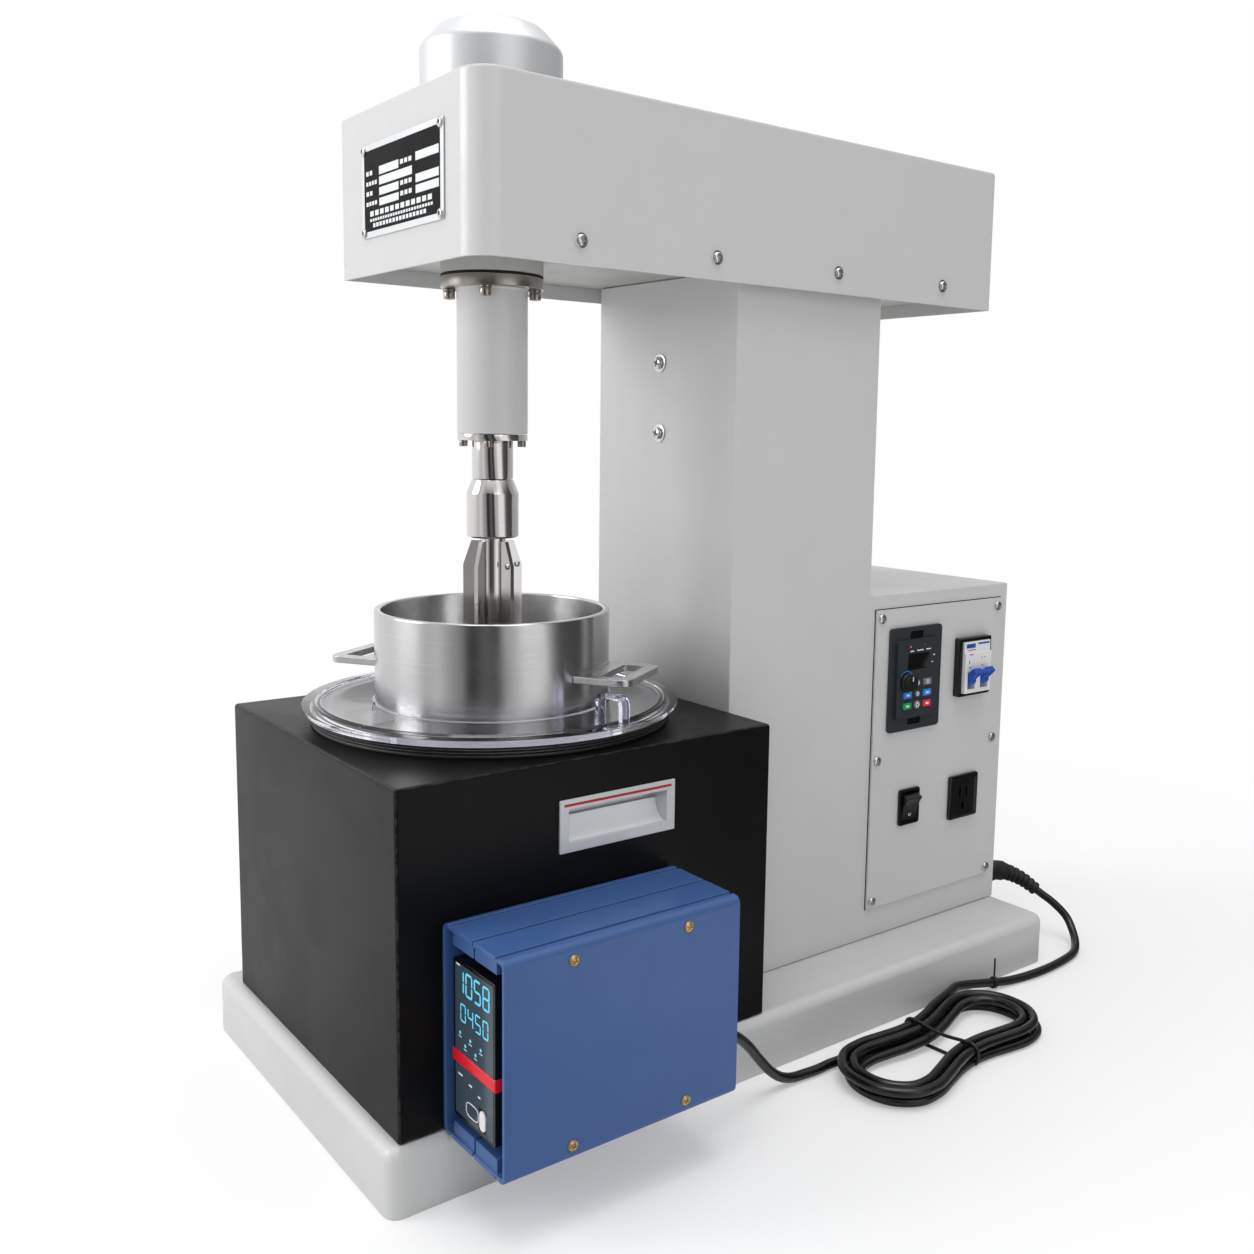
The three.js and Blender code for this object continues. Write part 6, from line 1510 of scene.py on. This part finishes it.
# Studio: panels round the machine, as mirrored in its metal, as turn in degrees and brightness
STUDIO_PANELS = (
    (-180, 0.95), (-150, 1.0), (-119, 0.9), (-96, 0.6), (-84, 0.8), (-70, 0.42), (-60, 0.3),
    (-55, 0.03), (-47, 0.03), (-43, 0.12), (-34, 0.12), (-30, 0.02), (-25, 0.03), (-21, 0.5),
    (-9, 0.6), (-4, 1.0), (17, 1.0), (24, 0.4), (32, 0.1), (62, 0.06), (69, 0.4), (77, 0.1),
    (104, 0.1), (122, 0.5), (140, 0.95), (180, 0.95),
)
OVERHEAD_FROM = 0.45
OVERHEAD_FULL = 0.8
OVERHEAD_BRIGHT = 0.9
FLOOR_TONE = (0.93, 0.93, 0.93, 1.0)
FLOOR_RADIUS = 14.0
FLOOR_SIDES = 64
FLOOR_NEAR = 0.5
FLOOR_FAR = 1.1
FLOOR_LIFT = 0.3
MIRRORED_NEAR = 0.15
MIRRORED_FAR = 0.45
MATT_LIGHT = 0.58
LIGHT_TARGET = np.array([0, 0, 0.3])


def make_studio_group():
    """How bright the studio is towards a direction: a ramp of the turn about the upright axis."""
    tree, source, sink = group("studio_panels", {"Vector": None}, "Brightness")
    x, y = apart(tree, source["Vector"])[:2]
    share = maths(tree, "MULTIPLY_ADD", maths(tree, "ARCTAN2", y, x), 0.5 / math.pi, 0.5)
    ramp = add(tree, "ShaderNodeValToRGB", {"Fac": share})
    stops = ramp.color_ramp.elements
    for k, (degrees, bright) in enumerate(STUDIO_PANELS):
        place = (degrees + 180) / 360
        stop = stops[0] if k == 0 else (stops[-1] if place == 1 else stops.new(place))
        stop.color = (bright, bright, bright, 1)
    feed(sink["Brightness"], ramp.outputs["Color"])
    return tree


STUDIO = make_studio_group()


def make_floor():
    """A plain pale floor: it takes the machine's shadow, runs into the white backdrop, and in
    mirrors into the studio's panels."""
    made, tree, _, coordinates = material("studio_floor", FLOOR_TONE, 0.9,
                                          Specular_IOR_Level=0.0)
    rays = add(tree, "ShaderNodeLightPath").outputs
    seen = maths(tree, "MAXIMUM", rays["Is Camera Ray"], rays["Is Transmission Ray"])
    away = vectors(tree, "LENGTH", coordinates)["Value"]
    fade = maths(tree, "MULTIPLY", seen, ramped(tree, away, FLOOR_NEAR, FLOOR_FAR, FLOOR_LIFT))
    mirrored = maths(tree, "MULTIPLY", rays["Is Glossy Ray"],
                     ramped(tree, away, MIRRORED_NEAR, MIRRORED_FAR))
    panels = grouped(tree, STUDIO, Vector=coordinates)["Brightness"]
    strength = maths(tree, "MAXIMUM", seen, maths(tree, "MULTIPLY", mirrored, panels))
    backdrop = add(tree, "ShaderNodeEmission", {"Color": (1, 1, 1, 1), "Strength": strength})
    joined = add(tree, "ShaderNodeMixShader", {
        0: maths(tree, "MAXIMUM", fade, mirrored),
        1: tree.nodes["Principled BSDF"].outputs[0], 2: backdrop.outputs[0]})
    feed(tree.nodes["Material Output"].inputs["Surface"], joined.outputs[0])
    ring = np.column_stack([circle(FLOOR_RADIUS, FLOOR_SIDES), np.zeros(FLOOR_SIDES)])
    mesh = bpy.data.meshes.new("floor")
    mesh.from_pydata(ring.tolist(), [], [list(range(FLOOR_SIDES))])
    mesh.materials.append(made)
    linked("floor", mesh)


def make_world():
    """White to the camera and through glass, panels of light and dark in mirrors, which close
    to white overhead, and a plain soft light on matt surfaces."""
    world = bpy.data.worlds.new("studio")
    bpy.context.scene.world = world
    world.use_nodes = True
    tree = world.node_tree
    tree.nodes.clear()
    rays = add(tree, "ShaderNodeLightPath").outputs
    seen = maths(tree, "MAXIMUM", rays["Is Camera Ray"], rays["Is Transmission Ray"])
    direction = add(tree, "ShaderNodeTexCoord").outputs["Generated"]
    overhead = maths(tree, "MULTIPLY", ramped(tree, apart(tree, direction)["Z"], OVERHEAD_FROM,
                                              OVERHEAD_FULL), OVERHEAD_BRIGHT)
    panels = maths(tree, "MAXIMUM", grouped(tree, STUDIO, Vector=direction)["Brightness"],
                   overhead)
    mirrored = maths(tree, "MULTIPLY", rays["Is Glossy Ray"], panels)
    matt = maths(tree, "MULTIPLY", maths(tree, "SUBTRACT", 1.0, rays["Is Glossy Ray"]),
                 MATT_LIGHT)
    strength = maths(tree, "MAXIMUM", seen, maths(tree, "ADD", mirrored, matt))
    background = add(tree, "ShaderNodeBackground", {"Color": (1, 1, 1, 1), "Strength": strength})
    add(tree, "ShaderNodeOutputWorld", {0: background.outputs[0]})


def make_light(name, place, size, power):
    """A square soft light at a place, facing the machine."""
    data = bpy.data.lights.new(name, "AREA")
    data.shape = "SQUARE"
    data.size = size
    data.energy = power
    back = unit(np.array(place) - LIGHT_TARGET)
    right = unit(np.cross(Z, back))
    placed(linked(name, data), right, np.cross(back, right), back, place)


make_floor()
make_world()
make_light("key", place=(-1.2, -2.2, 1.35), size=1.3, power=31)
make_light("top", place=(0.3, -0.2, 2.4), size=1.6, power=28)
make_light("right", place=(1.9, -0.5, 1.3), size=1.0, power=2)

bpy.context.scene.view_settings.view_transform = "Standard"
